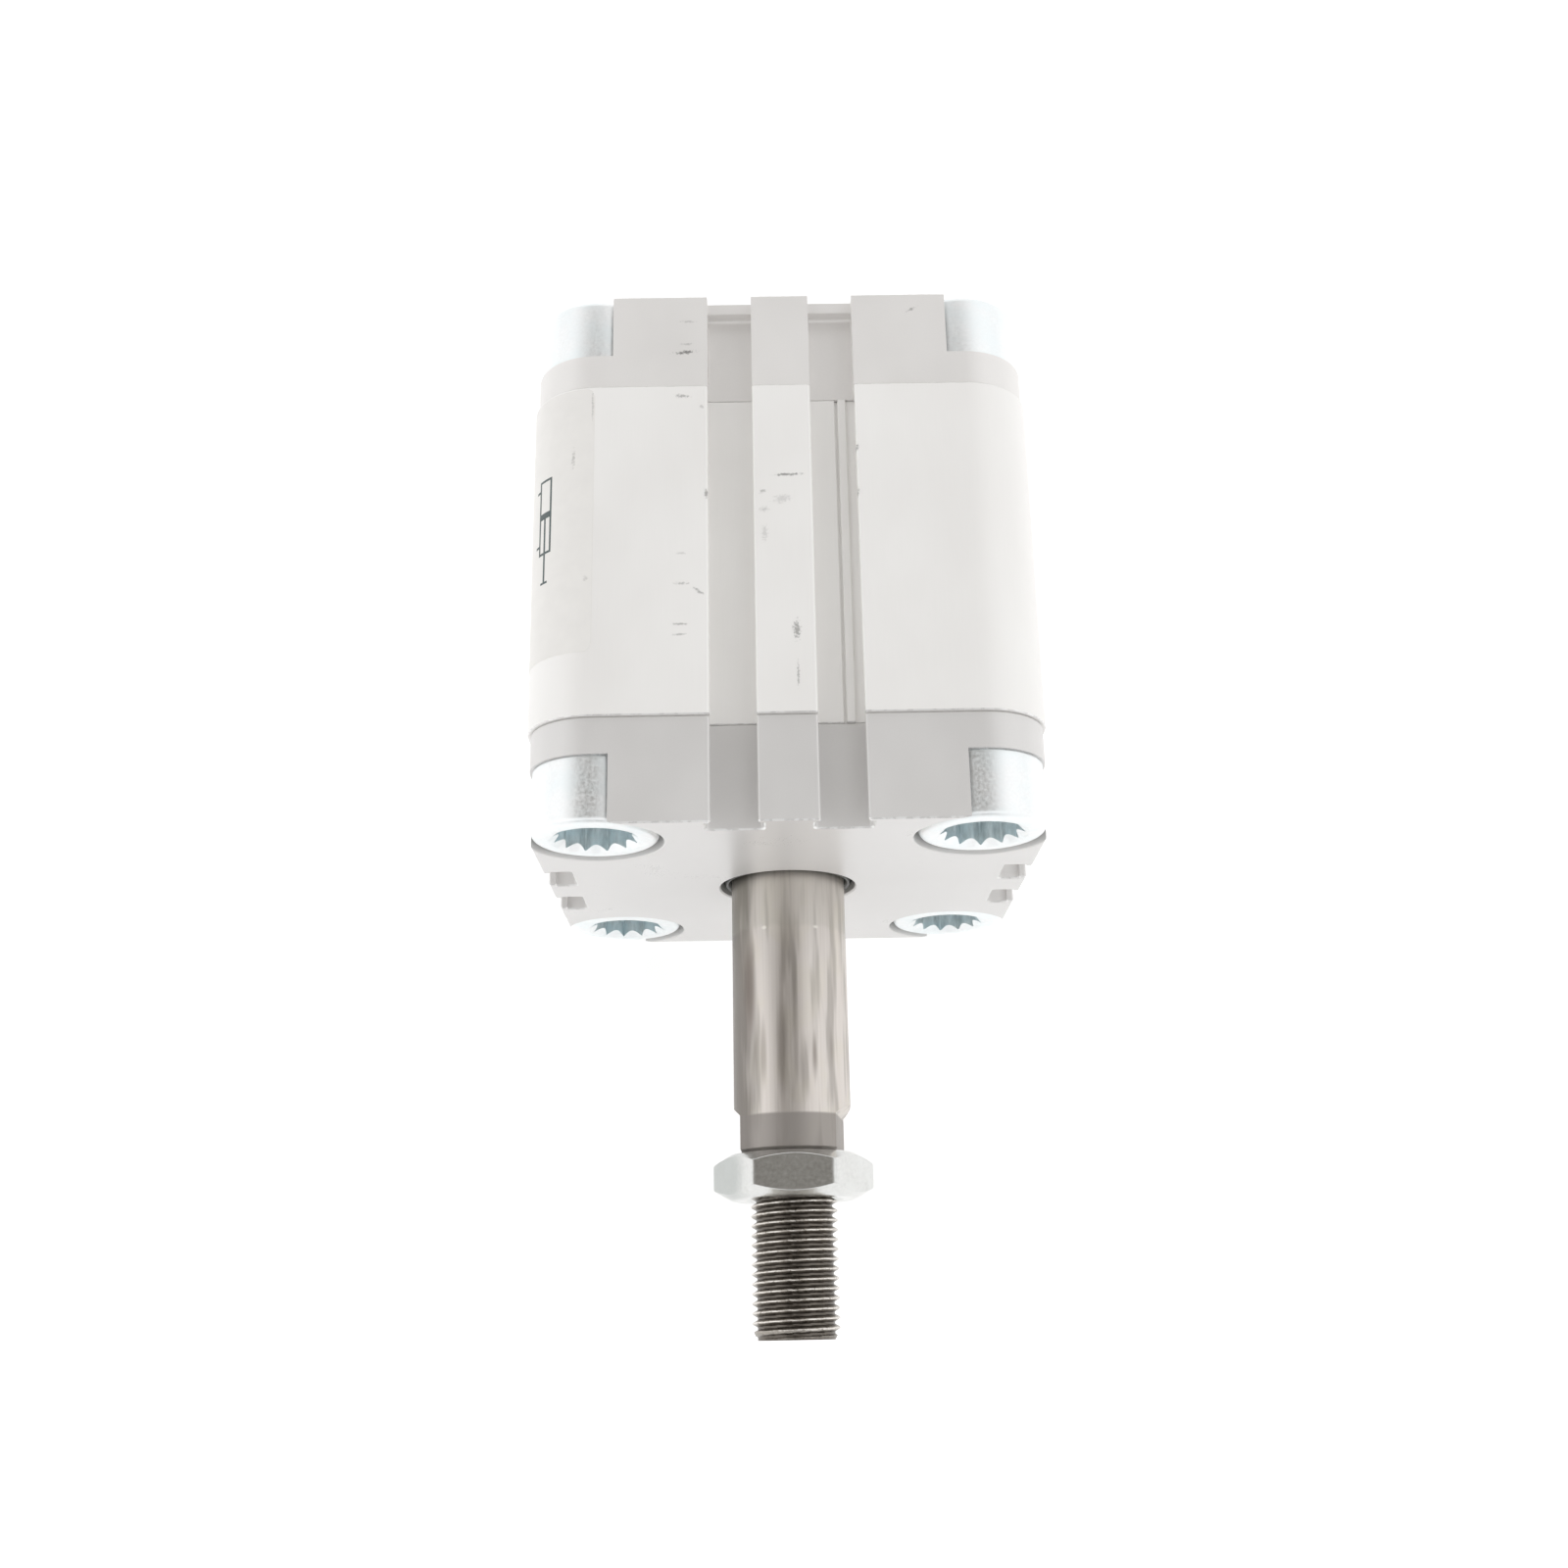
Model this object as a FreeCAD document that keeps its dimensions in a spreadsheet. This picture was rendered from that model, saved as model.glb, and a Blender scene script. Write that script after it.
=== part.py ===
import FreeCAD, Part
import math
import os
import Sketcher

# Compact double-acting pneumatic cylinder, bore 50, stroke 30, male rod thread.
# Frame: origin at the centre of the bearing cap's front face on the rod axis,
# +Y along the axis towards the end cap, +Z up, rod pointing to -Y (extended).

os.makedirs("parts", exist_ok=True)
doc = FreeCAD.newDocument("compact_cylinder")
V = FreeCAD.Vector

# ---------------------------------------------------------------- dimensions
DIMS = [
    ("stroke", 30.0),
    ("body_len", 75.5),
    ("cap_len", 14.2),
    ("barrel_half", 34.0),
    ("barrel_corner", 9.0),
    ("cap_half", 33.6),
    ("cap_corner", 8.6),
    ("bore_rad", 25.0),
    ("spigot_rad", 24.9),
    ("spigot_len", 3.0),
    ("bolt_half", 25.0),
    ("cbore_rad", 8.9),
    ("cbore_deep", 9.2),
    ("head_rad", 8.25),
    ("head_recess", 0.2),
    ("head_chamfer", 0.35),
    ("head_edge", 0.95),
    ("drive_rad", 5.65),
    ("drive_deep", 5.45),
    ("drive_inner", 4.65),
    ("tap_rad", 3.4),
    ("tap_end", 18.0),
    ("shank_rad", 6.0),
    ("shank_end", 22.5),
    ("shank_hole", 6.05),
    ("cap_hole", 6.3),
    ("slot_pos", 6.9),
    ("slot_half", 3.0),
    ("slot_wide", 3.7),
    ("slot_lip", 32.6),
    ("slot_floor", 29.7),
    ("groove_x", 7.35),
    ("groove_width", 0.4),
    ("groove_low", 0.5),
    ("ledge_up", 0.25),
    ("slot_stop", 1.55),
    ("slot_stop_top", 31.4),
    ("rod_rad", 8.0),
    ("rod_shoulder", 37.5),
    ("thread_rad", 6.0),
    ("thread_len", 24.0),
    ("thread_chamfer", 1.0),
    ("relief_rad", 5.8),
    ("relief_len", 6.3),
    ("flat_half", 6.5),
    ("flat_len", 5.0),
    ("flat_turn", 8.5),
    ("nut_half", 9.5),
    ("nut_len", 6.0),
    ("nut_bore", 6.03),
    ("nut_face", 8.45),
    ("seal_seat", 9.6),
    ("seal_deep", 5.0),
    ("bush_rad", 9.0),
    ("bush_bore", 8.03),
    ("bush_end", 13.0),
    ("rod_clear", 8.35),
    ("lip_rad", 8.05),
    ("buffer_in", 12.0),
    ("buffer_out", 19.0),
    ("buffer_deep", 1.8),
    ("buffer_proud", 0.6),
    ("ring_gap", 0.05),
    ("cap_ring_floor", 23.8),
    ("cap_ring_from", 0.7),
    ("cap_ring_to", 2.4),
    ("cap_ring_mid", 24.4),
    ("cap_ring_thick", 0.58),
    ("end_gap", 0.1),
    ("piston_rad", 24.6),
    ("disc_len", 4.85),
    ("groove_rad", 21.0),
    ("groove_from", 0.8),
    ("groove_to", 3.0),
    ("guide_floor", 23.4),
    ("guide_from", 3.5),
    ("guide_rad", 24.92),
    ("lip_out", 24.95),
    ("magnet_in", 13.0),
    ("magnet_out", 19.0),
    ("magnet_from", 3.8),
    ("spigot_rod", 6.0),
    ("spigot_bore", 6.05),
    ("spigot_rod_len", 5.6),
    ("rod_tap", 4.0),
    ("rod_tap_deep", 16.0),
    ("screw_rad", 3.95),
    ("screw_len", 14.0),
    ("screw_head", 7.5),
    ("screw_key", 2.5),
    ("ring_seat", 7.1),
    ("ring_seat_deep", 1.1),
    ("ring_mid", 6.56),
    ("ring_thick", 0.5),
    ("port_rad", 4.28),
    ("port_mouth", 4.9),
    ("port_deep", 8.0),
    ("port_y", 7.1),
    ("duct_rad", 1.3),
    ("duct_z", 21.3),
    ("label_from", 22.9),
    ("label_to", 61.0),
    ("label_low", 11.0),
    ("label_thick", 0.08),
    ("centre_rad", 3.0),
    ("centre_deep", 2.5),
    ("edge_break", 0.3),
]

sheet = doc.addObject("Spreadsheet::Sheet", "dims")
for row, (name, value) in enumerate(DIMS, start=1):
    sheet.set("A%d" % row, name)
    sheet.set("B%d" % row, repr(value))
    sheet.setAlias("B%d" % row, name)
doc.recompute()


class Q:
    """A length with both its present value and its expression text."""

    def __init__(self, value, text=None):
        self.v = float(value)
        self.t = text if text is not None else repr(float(value))

    def __add__(self, o):
        o = q(o)
        return Q(self.v + o.v, "(%s + %s)" % (self.t, o.t))

    def __radd__(self, o):
        return q(o) + self

    def __sub__(self, o):
        o = q(o)
        return Q(self.v - o.v, "(%s - %s)" % (self.t, o.t))

    def __rsub__(self, o):
        return q(o) - self

    def __mul__(self, o):
        o = q(o)
        return Q(self.v * o.v, "(%s * %s)" % (self.t, o.t))

    def __rmul__(self, o):
        return q(o) * self

    def __neg__(self):
        return Q(-self.v, "(0 - %s)" % self.t)


def q(x):
    return x if isinstance(x, Q) else Q(x)


class Dims:
    pass


D = Dims()
for name, value in DIMS:
    setattr(D, name, Q(value, "dims.%s" % name))

rear_y = D.body_len                       # rear face of the end cap
barrel_y0 = D.cap_len                     # front end of the barrel
barrel_y1 = D.body_len - D.cap_len        # rear end of the barrel
spigot_y0 = D.cap_len + D.spigot_len      # inner face of the bearing cap
spigot_y1 = barrel_y1 - D.spigot_len      # inner face of the end cap
piston_y0 = spigot_y0 + D.buffer_proud + D.end_gap
piston_mid = piston_y0 + D.disc_len
piston_y1 = piston_mid + D.disc_len

NODES = []


# ------------------------------------------------------------------- helpers
def make_body(name, several=False):
    b = doc.addObject("PartDesign::Body", name)
    b.Label = name
    if several:
        b.AllowCompound = True
    NODES.append(b)
    return b


def role(b, name):
    for f in b.Origin.OriginFeatures:
        if f.Role == name:
            return f
    raise ValueError(name)


def make_sketch(b, name, plane, x=None, y=None, z=None):
    """Sketch on an origin plane, moved by offsets in the plane's own axes.
    XZ_Plane: x = +X, y = +Z, normal -Y.  YZ_Plane: x = +Y, y = +Z, normal +X.
    XY_Plane: x = +X, y = +Y, normal +Z."""
    s = b.newObject("Sketcher::SketchObject", name)
    s.AttachmentSupport = [(role(b, plane), "")]
    s.MapMode = "FlatFace"
    for key, val in (("x", x), ("y", y), ("z", z)):
        if val is not None:
            s.setExpression("AttachmentOffset.Base.%s" % key, q(val).t)
    return s


def fix(s, kind, geo, pos, val):
    """Hold one coordinate of a point at val, measured from the sketch's origin."""
    val = q(val)
    if abs(val.v) < 1e-9 and val.t in ("0.0", "0"):
        s.addConstraint(Sketcher.Constraint("PointOnObject", geo, pos, -2 if kind == "DistanceX" else -1))
        return
    if val.v < 0:
        n = s.addConstraint(Sketcher.Constraint(kind, geo, pos, -1, 1, -val.v))
        s.setExpression("Constraints[%d]" % n, (-val).t)
    else:
        n = s.addConstraint(Sketcher.Constraint(kind, -1, 1, geo, pos, val.v))
        s.setExpression("Constraints[%d]" % n, val.t)


def add_polygon(s, pts):
    pts = [(q(a), q(b)) for a, b in pts]
    n0 = s.GeometryCount
    n = len(pts)
    for i in range(n):
        a, b = pts[i], pts[(i + 1) % n]
        s.addGeometry(Part.LineSegment(V(a[0].v, a[1].v, 0), V(b[0].v, b[1].v, 0)), False)
    for i in range(n):
        s.addConstraint(Sketcher.Constraint("Coincident", n0 + i, 2, n0 + (i + 1) % n, 1))
    for i in range(n):
        fix(s, "DistanceX", n0 + i, 1, pts[i][0])
        fix(s, "DistanceY", n0 + i, 1, pts[i][1])


def add_circle(s, x, y, r):
    x, y, r = q(x), q(y), q(r)
    g = s.addGeometry(Part.Circle(V(x.v, y.v, 0), V(0, 0, 1), r.v), False)
    fix(s, "DistanceX", g, 3, x)
    fix(s, "DistanceY", g, 3, y)
    n = s.addConstraint(Sketcher.Constraint("Radius", g, r.v))
    s.setExpression("Constraints[%d]" % n, r.t)


def box_pts(x0, y0, x1, y1):
    return [(x0, y0), (x1, y0), (x1, y1), (x0, y1)]


def check_cut(b, before, name):
    after = b.Shape.Volume
    if not after < before - 1e-3:
        raise RuntimeError("%s cut nothing (%.3f -> %.3f)" % (name, before, after))


def pad(b, s, length, name, back=True):
    """Pad; on XZ_Plane back=True grows towards +Y."""
    f = b.newObject("PartDesign::Pad", name)
    f.Profile = s
    f.setExpression("Length", q(length).t)
    f.Reversed = back
    doc.recompute()
    return f


def pocket(b, s, length, name, back=True, both=False):
    """Pocket; on XZ_Plane back=True cuts towards +Y."""
    before = b.Shape.Volume
    f = b.newObject("PartDesign::Pocket", name)
    f.Profile = s
    f.setExpression("Length", q(length).t)
    f.Reversed = not back
    if both:
        f.Midplane = True
    doc.recompute()
    check_cut(b, before, name)
    return f


def revolve(b, s, name, axis="H_Axis"):
    f = b.newObject("PartDesign::Revolution", name)
    f.Profile = s
    f.ReferenceAxis = (s, [axis])
    f.Angle = 360
    doc.recompute()
    return f


def groove(b, s, name, axis="H_Axis"):
    before = b.Shape.Volume
    f = b.newObject("PartDesign::Groove", name)
    f.Profile = s
    f.ReferenceAxis = (s, [axis])
    f.Angle = 360
    doc.recompute()
    check_cut(b, before, name)
    return f


def round_long_edges(b, base, radius, half, name):
    """Round the four edges that run along Y at the corners of a square block."""
    names = []
    for i, e in enumerate(base.Shape.Edges, start=1):
        p, r = e.Vertexes[0].Point, e.Vertexes[-1].Point
        if abs(p.x - r.x) < 1e-6 and abs(p.z - r.z) < 1e-6 and abs(p.y - r.y) > 1:
            if abs(abs(p.x) - half.v) < 1e-6 and abs(abs(p.z) - half.v) < 1e-6:
                names.append("Edge%d" % i)
    if len(names) != 4:
        raise RuntimeError("%s: %d corner edges" % (name, len(names)))
    f = b.newObject("PartDesign::Fillet", name)
    f.Base = (base, names)
    f.setExpression("Radius", radius.t)
    doc.recompute()
    return f


def four(x, y):
    return [(x, y), (-x, y), (-x, -y), (x, -y)]


def slot_profile(s, side, sign, top, tee, step):
    """One sensor slot's section. side: 'top', 'left' or 'right'. step adds the
    marking groove and the low ledge that tell the first slot from the others."""
    c = D.slot_pos if sign > 0 else -D.slot_pos
    h, w, lip, fl = D.slot_half, D.slot_wide, D.slot_lip, D.slot_floor
    if tee:
        floor = [(c - w, fl), (c + w, fl)]
        if step and side == "top" and sign > 0:
            floor = [(c - w, fl), (D.groove_x, fl), (D.groove_x, fl - D.groove_low),
                     (D.groove_x + D.groove_width, fl - D.groove_low),
                     (D.groove_x + D.groove_width, fl + D.ledge_up), (c + w, fl + D.ledge_up)]
        pts = [(c - h, top), (c - h, lip), (c - w, lip)] + floor + [
            (c + w, lip), (c + h, lip), (c + h, top)]
    else:
        pts = [(c - h, top), (c - h, fl), (c + h, fl), (c + h, top)]
    if side == "left":
        pts = [(-b, a) for a, b in pts]
    elif side == "right":
        pts = [(b, -a) for a, b in pts]
    add_polygon(s, pts)


def slots(b, name, y0, length, top, tee, step=False, sides=("top", "left", "right")):
    s = make_sketch(b, name + "_profile", "XZ_Plane", z=-q(y0))
    for side in sides:
        for sign in (-1, 1):
            slot_profile(s, side, sign, top, tee, step)
    return pocket(b, s, length, name, back=True)


# ------------------------------------------------------------ barrel profile
# Drawn aluminium profile: square outside, round bore, four screw channels and
# two T-slots for sensors on each of three sides.
b = make_body("barrel_profile")
s = make_sketch(b, "barrel_outline", "XZ_Plane", z=-barrel_y0)
add_polygon(s, box_pts(-D.barrel_half, -D.barrel_half, D.barrel_half, D.barrel_half))
base = pad(b, s, barrel_y1 - barrel_y0, "barrel_block")
round_long_edges(b, base, D.barrel_corner, D.barrel_half, "barrel_corners")
s = make_sketch(b, "barrel_holes", "XZ_Plane", z=-barrel_y0)
add_circle(s, 0, 0, D.bore_rad)
for x, z in four(D.bolt_half, D.bolt_half):
    add_circle(s, x, z, D.shank_hole)
pocket(b, s, barrel_y1 - barrel_y0, "barrel_bores", back=True)
slots(b, "barrel_slots", barrel_y0, barrel_y1 - barrel_y0, D.barrel_half + 1, True, step=True)


# -------------------------------------------------------------------- covers
def make_cap(name, y0, y1, outer, inner, tee):
    """Cover block with a spigot in the bore. outer is its outside face's y,
    inner its inside face's y; d = +1 when the inside lies towards +Y."""
    d = 1 if inner.v > outer.v else -1
    b = make_body(name)
    s = make_sketch(b, name + "_outline", "XZ_Plane", z=-y0)
    add_polygon(s, box_pts(-D.cap_half, -D.cap_half, D.cap_half, D.cap_half))
    base = pad(b, s, D.cap_len, name + "_block")
    round_long_edges(b, base, D.cap_corner, D.cap_half, name + "_corners")
    s = make_sketch(b, name + "_spigot_outline", "XZ_Plane", z=-(y1 if d > 0 else y0))
    add_circle(s, 0, 0, D.spigot_rad)
    pad(b, s, D.spigot_len, name + "_spigot", back=(d > 0))
    # counterbores that break out through the rounded corners
    s = make_sketch(b, name + "_counterbore_outline", "XZ_Plane", z=-outer)
    for x, z in four(D.bolt_half, D.bolt_half):
        add_circle(s, x, z, D.cbore_rad)
    pocket(b, s, D.cbore_deep, name + "_counterbores", back=(d > 0))
    s = make_sketch(b, name + "_hole_outline", "XZ_Plane", z=-outer)
    for x, z in four(D.bolt_half, D.bolt_half):
        add_circle(s, x, z, D.cap_hole)
    pocket(b, s, D.cap_len, name + "_screw_holes", back=(d > 0))
    # grooves in the spigot for the O-ring and the buffer ring
    face = inner + (D.spigot_len if d > 0 else -D.spigot_len)
    s = make_sketch(b, name + "_groove_outline", "YZ_Plane")
    a = inner + d * D.cap_ring_from
    c = inner + d * D.cap_ring_to
    if d < 0:
        a, c = c, a
    add_polygon(s, box_pts(a, D.cap_ring_floor, c, D.spigot_rad + 0.5))
    a = face - d * D.buffer_deep
    c = face + d * 0.5
    if d < 0:
        a, c = c, a
    add_polygon(s, box_pts(a, D.buffer_in, c, D.buffer_out))
    groove(b, s, name + "_grooves")
    # air port in the underside and its duct to the chamber
    py = outer + d * D.port_y
    s = make_sketch(b, name + "_port_outline", "YZ_Plane", x=py)
    low = -D.cap_half
    add_polygon(s, [(0, low - 0.5), (D.port_mouth + 0.5, low - 0.5),
                    (D.port_rad, low + (D.port_mouth - D.port_rad)),
                    (D.port_rad, low + D.port_deep),
                    (D.duct_rad, low + D.port_deep + 1.5),
                    (D.duct_rad, -(D.duct_z - D.duct_rad)), (0, -(D.duct_z - D.duct_rad))])
    groove(b, s, name + "_port", axis="V_Axis")
    s = make_sketch(b, name + "_duct_outline", "XZ_Plane", z=-face)
    add_circle(s, 0, -D.duct_z, D.duct_rad)
    pocket(b, s, (face - py) if d > 0 else (py - face), name + "_duct", back=(d < 0))
    return b


# The bearing cap carries the rod bush and the wiper seal.
b = make_cap("bearing_cap", q(0), D.cap_len, q(0), D.cap_len, True)
s = make_sketch(b, "rod_passage_outline", "YZ_Plane")
add_polygon(s, [(q(-0.5), 0), (q(-0.5), D.seal_seat), (D.seal_deep, D.seal_seat),
                (D.seal_deep, D.bush_rad), (D.bush_end, D.bush_rad),
                (D.bush_end, D.rod_clear), (spigot_y0 + 0.5, D.rod_clear), (spigot_y0 + 0.5, 0)])
groove(b, s, "rod_passage")
slots(b, "bearing_cap_slots", q(-0.5), D.cap_len + 1, D.cap_half + 1, True)

# The end cap closes the bore; its slots are plain and stop at a thin low wall.
b = make_cap("end_cap", barrel_y1, rear_y, rear_y, barrel_y1, False)
s = make_sketch(b, "centre_hole_outline", "XZ_Plane", z=-rear_y)
add_circle(s, 0, 0, D.centre_rad)
pocket(b, s, D.centre_deep, "centre_hole", back=False)
slots(b, "end_cap_slots", barrel_y1 - 0.5, D.cap_len - D.slot_stop + 0.5, D.cap_half + 1, False)
s = make_sketch(b, "end_cap_slot_mouths", "XZ_Plane", z=-(rear_y - D.slot_stop - 0.5))
for sign in (-1, 1):
    c = D.slot_pos if sign > 0 else -D.slot_pos
    add_polygon(s, box_pts(c - D.slot_half, D.slot_stop_top, c + D.slot_half, D.cap_half + 1))
    add_polygon(s, box_pts(-(D.cap_half + 1), c - D.slot_half, -D.slot_stop_top, c + D.slot_half))
    add_polygon(s, box_pts(D.slot_stop_top, c - D.slot_half, D.cap_half + 1, c + D.slot_half))
pocket(b, s, D.slot_stop + 1, "end_cap_slot_ends", back=True)


# ------------------------------------------------------------- flange screws
def make_screws(name, face, d):
    """Four large-headed screws with a twelve-point recess and a tapped bore.
    face is the y of the cap's outside face, d the way the screws go in."""
    b = make_body(name, several=True)
    s = make_sketch(b, name + "_section", "YZ_Plane", x=face, y=D.bolt_half, z=D.bolt_half)
    y0 = d * D.head_recess
    y1 = d * D.cbore_deep
    y2 = d * D.shank_end
    yt = d * D.tap_end
    c = d * D.head_chamfer
    add_polygon(s, [(y0, 0), (y0, D.head_rad - D.head_edge), (y0 + d * D.head_edge, D.head_rad),
                    (y1, D.head_rad), (y1, D.shank_rad), (y2 - c * 2, D.shank_rad),
                    (y2, D.shank_rad - 2 * D.head_chamfer), (y2, 0)])
    rv = revolve(b, s, name + "_turned")
    s = make_sketch(b, name + "_tap_section", "YZ_Plane", x=face, y=D.bolt_half, z=D.bolt_half)
    yd = d * (D.head_recess + D.drive_deep)
    add_polygon(s, [(y0 - d * 0.5, 0), (y0 - d * 0.5, D.tap_rad), (yt, D.tap_rad),
                    (yt + d * 2.0, 0)])
    gv = groove(b, s, name + "_tapped_bore")
    s = make_sketch(b, name + "_drive_outline", "XZ_Plane", x=D.bolt_half, y=D.bolt_half,
                    z=-(face + y0))
    pts = []
    for k in range(24):
        r = D.drive_rad if k % 2 == 0 else D.drive_inner
        a = math.radians(15.0 * k)
        pts.append((r * round(math.cos(a), 12), r * round(math.sin(a), 12)))
    add_polygon(s, pts)
    dv = pocket(b, s, D.drive_deep, name + "_drive", back=(d > 0))
    pp = b.newObject("PartDesign::PolarPattern", name + "_pattern")
    pp.Originals = [rv, gv, dv]
    pp.Axis = (role(b, "Y_Axis"), [""])
    pp.Angle = 360
    pp.Occurrences = 4
    b.Tip = pp
    doc.recompute()
    return b


make_screws("front_flange_screws", q(0), 1)
make_screws("rear_flange_screws", rear_y, -1)


# ------------------------------------------------- turned rings and discs
def turned(name, pts):
    b = make_body(name)
    s = make_sketch(b, name + "_section", "YZ_Plane")
    add_polygon(s, pts)
    revolve(b, s, name + "_turned")
    return b


turned("rod_bearing_bush", [(D.seal_deep, D.bush_bore + 0.3), (D.seal_deep, D.bush_rad),
                            (D.bush_end, D.bush_rad), (D.bush_end, D.bush_bore + 0.3),
                            (D.bush_end - 0.3, D.bush_bore), (D.seal_deep + 0.3, D.bush_bore)])

# Wiper and rod seal in one ring: body in the seat, wiping lip outside, sealing
# lip inside.
turned("rod_wiper_seal", [(q(0.9), D.seal_seat), (D.seal_deep, D.seal_seat),
                          (D.seal_deep, D.seal_seat - 0.7), (q(3.9), D.seal_seat - 0.75),
                          (q(4.4), D.lip_rad + 0.15), (q(3.9), D.lip_rad),
                          (q(3.2), D.lip_rad + 0.3), (q(2.0), D.lip_rad + 0.3),
                          (q(0.75), D.lip_rad), (q(0.45), D.lip_rad + 0.12),
                          (q(1.3), D.seal_seat - 0.85), (q(0.9), D.seal_seat - 0.35)])

# Buffer rings pressed into the cap faces.
g = D.ring_gap
a = spigot_y0 - D.buffer_deep + g
c = spigot_y0 + D.buffer_proud
turned("front_buffer_ring", [(a, D.buffer_in + g), (a, D.buffer_out - g),
                             (c - 0.3, D.buffer_out - g), (c, D.buffer_out - g - 0.5),
                             (c, D.buffer_in + g + 0.5), (c - 0.3, D.buffer_in + g)])
a = spigot_y1 + D.buffer_deep - g
c = spigot_y1 - D.buffer_proud
turned("rear_buffer_ring", [(a, D.buffer_in + g), (a, D.buffer_out - g),
                            (c + 0.3, D.buffer_out - g), (c, D.buffer_out - g - 0.5),
                            (c, D.buffer_in + g + 0.5), (c + 0.3, D.buffer_in + g)])


def o_ring(name, y, r_mid, r_thick):
    t = doc.addObject("Part::Torus", name)
    t.Label = name
    t.setExpression("Radius1", r_mid.t)
    t.setExpression("Radius2", r_thick.t)
    t.Placement = FreeCAD.Placement(V(0, 0, 0), FreeCAD.Rotation(V(1, 0, 0), 90))
    t.setExpression("Placement.Base.y", y.t)
    NODES.append(t)
    return t


o_ring("front_cap_o_ring", D.cap_len + (D.cap_ring_from + D.cap_ring_to) * 0.5,
       D.cap_ring_mid, D.cap_ring_thick)
o_ring("rear_cap_o_ring", barrel_y1 - (D.cap_ring_from + D.cap_ring_to) * 0.5,
       D.cap_ring_mid, D.cap_ring_thick)

# ----------------------------------------------------------------- the piston
p0, pm, p1 = piston_y0, piston_mid, piston_y1
turned("piston_front_disc", [
    (p0, D.ring_seat), (p0, D.piston_rad - 0.4), (p0 + 0.4, D.piston_rad),
    (p0 + D.groove_from, D.piston_rad), (p0 + D.groove_from, D.groove_rad),
    (p0 + D.groove_to, D.groove_rad), (p0 + D.groove_to, D.piston_rad),
    (p0 + D.guide_from, D.piston_rad), (p0 + D.guide_from, D.guide_floor),
    (pm, D.guide_floor), (pm, D.magnet_out), (p0 + D.magnet_from, D.magnet_out),
    (p0 + D.magnet_from, D.magnet_in), (pm, D.magnet_in), (pm, D.spigot_bore),
    (p0 + D.ring_seat_deep, D.spigot_bore), (p0 + D.ring_seat_deep, D.ring_seat)])
turned("piston_rear_disc", [
    (p1, D.screw_head + 0.45), (p1, D.piston_rad - 0.4), (p1 - 0.4, D.piston_rad),
    (p1 - D.groove_from, D.piston_rad), (p1 - D.groove_from, D.groove_rad),
    (p1 - D.groove_to, D.groove_rad), (p1 - D.groove_to, D.piston_rad),
    (p1 - D.guide_from, D.piston_rad), (p1 - D.guide_from, D.guide_floor),
    (pm, D.guide_floor), (pm, D.magnet_out), (p1 - D.magnet_from, D.magnet_out),
    (p1 - D.magnet_from, D.magnet_in), (pm, D.magnet_in), (pm, D.spigot_bore),
    (p0 + D.spigot_rod_len + 0.1, D.spigot_bore), (p0 + D.spigot_rod_len + 0.1, D.screw_rad + 0.45)])
turned("piston_magnet", [(p0 + D.magnet_from + g, D.magnet_in + g),
                         (p1 - D.magnet_from - g, D.magnet_in + g),
                         (p1 - D.magnet_from - g, D.magnet_out - g),
                         (p0 + D.magnet_from + g, D.magnet_out - g)])
turned("piston_guide_ring", [(p0 + D.guide_from + g, D.guide_floor + g),
                             (p1 - D.guide_from - g, D.guide_floor + g),
                             (p1 - D.guide_from - g, D.guide_rad - 0.2),
                             (p1 - D.guide_from - g - 0.2, D.guide_rad),
                             (p0 + D.guide_from + g + 0.2, D.guide_rad),
                             (p0 + D.guide_from + g, D.guide_rad - 0.2)])
# Lip seals open towards their own chamber.
a, c = p0 + D.groove_from + g, p0 + D.groove_to - g
turned("piston_seal_front", [(a, D.groove_rad + g), (c, D.groove_rad + g), (c, D.piston_rad - 0.25),
                             (c - 0.5, D.piston_rad), (a + 0.35, D.lip_out), (a, D.lip_out - 0.1),
                             (a, D.lip_out - 0.9), (a + 1.1, D.lip_out - 1.6),
                             (a + 1.1, D.groove_rad + 1.3), (a, D.groove_rad + 0.9)])
a, c = p1 - D.groove_from - g, p1 - D.groove_to + g
turned("piston_seal_rear", [(a, D.groove_rad + g), (c, D.groove_rad + g), (c, D.piston_rad - 0.25),
                            (c + 0.5, D.piston_rad), (a - 0.35, D.lip_out), (a, D.lip_out - 0.1),
                            (a, D.lip_out - 0.9), (a - 1.1, D.lip_out - 1.6),
                            (a - 1.1, D.groove_rad + 1.3), (a, D.groove_rad + 0.9)])
o_ring("piston_o_ring", p0 + D.ring_seat_deep * 0.5, D.ring_mid, D.ring_thick)

# ------------------------------------------------------------------- the rod
tip = -(D.rod_shoulder + D.thread_len)
sh = -D.rod_shoulder
rod_end = p0 + D.spigot_rod_len
b = turned("piston_rod", [(tip, 0), (tip, D.thread_rad - D.thread_chamfer),
                          (tip + D.thread_chamfer, D.thread_rad), (sh - D.relief_len, D.thread_rad),
                          (sh - D.relief_len, D.relief_rad), (sh, D.relief_rad),
                          (sh, D.rod_rad - 0.5), (sh + 0.5, D.rod_rad), (p0, D.rod_rad),
                          (p0, D.spigot_rod), (rod_end - 0.3, D.spigot_rod),
                          (rod_end, D.spigot_rod - 0.3), (rod_end, 0)])
s = make_sketch(b, "rod_tap_section", "YZ_Plane")
add_polygon(s, [(rod_end + 0.5, 0), (rod_end + 0.5, D.rod_tap), (rod_end - D.rod_tap_deep, D.rod_tap),
                (rod_end - D.rod_tap_deep - 2.0, 0)])
groove(b, s, "rod_tap")
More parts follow.
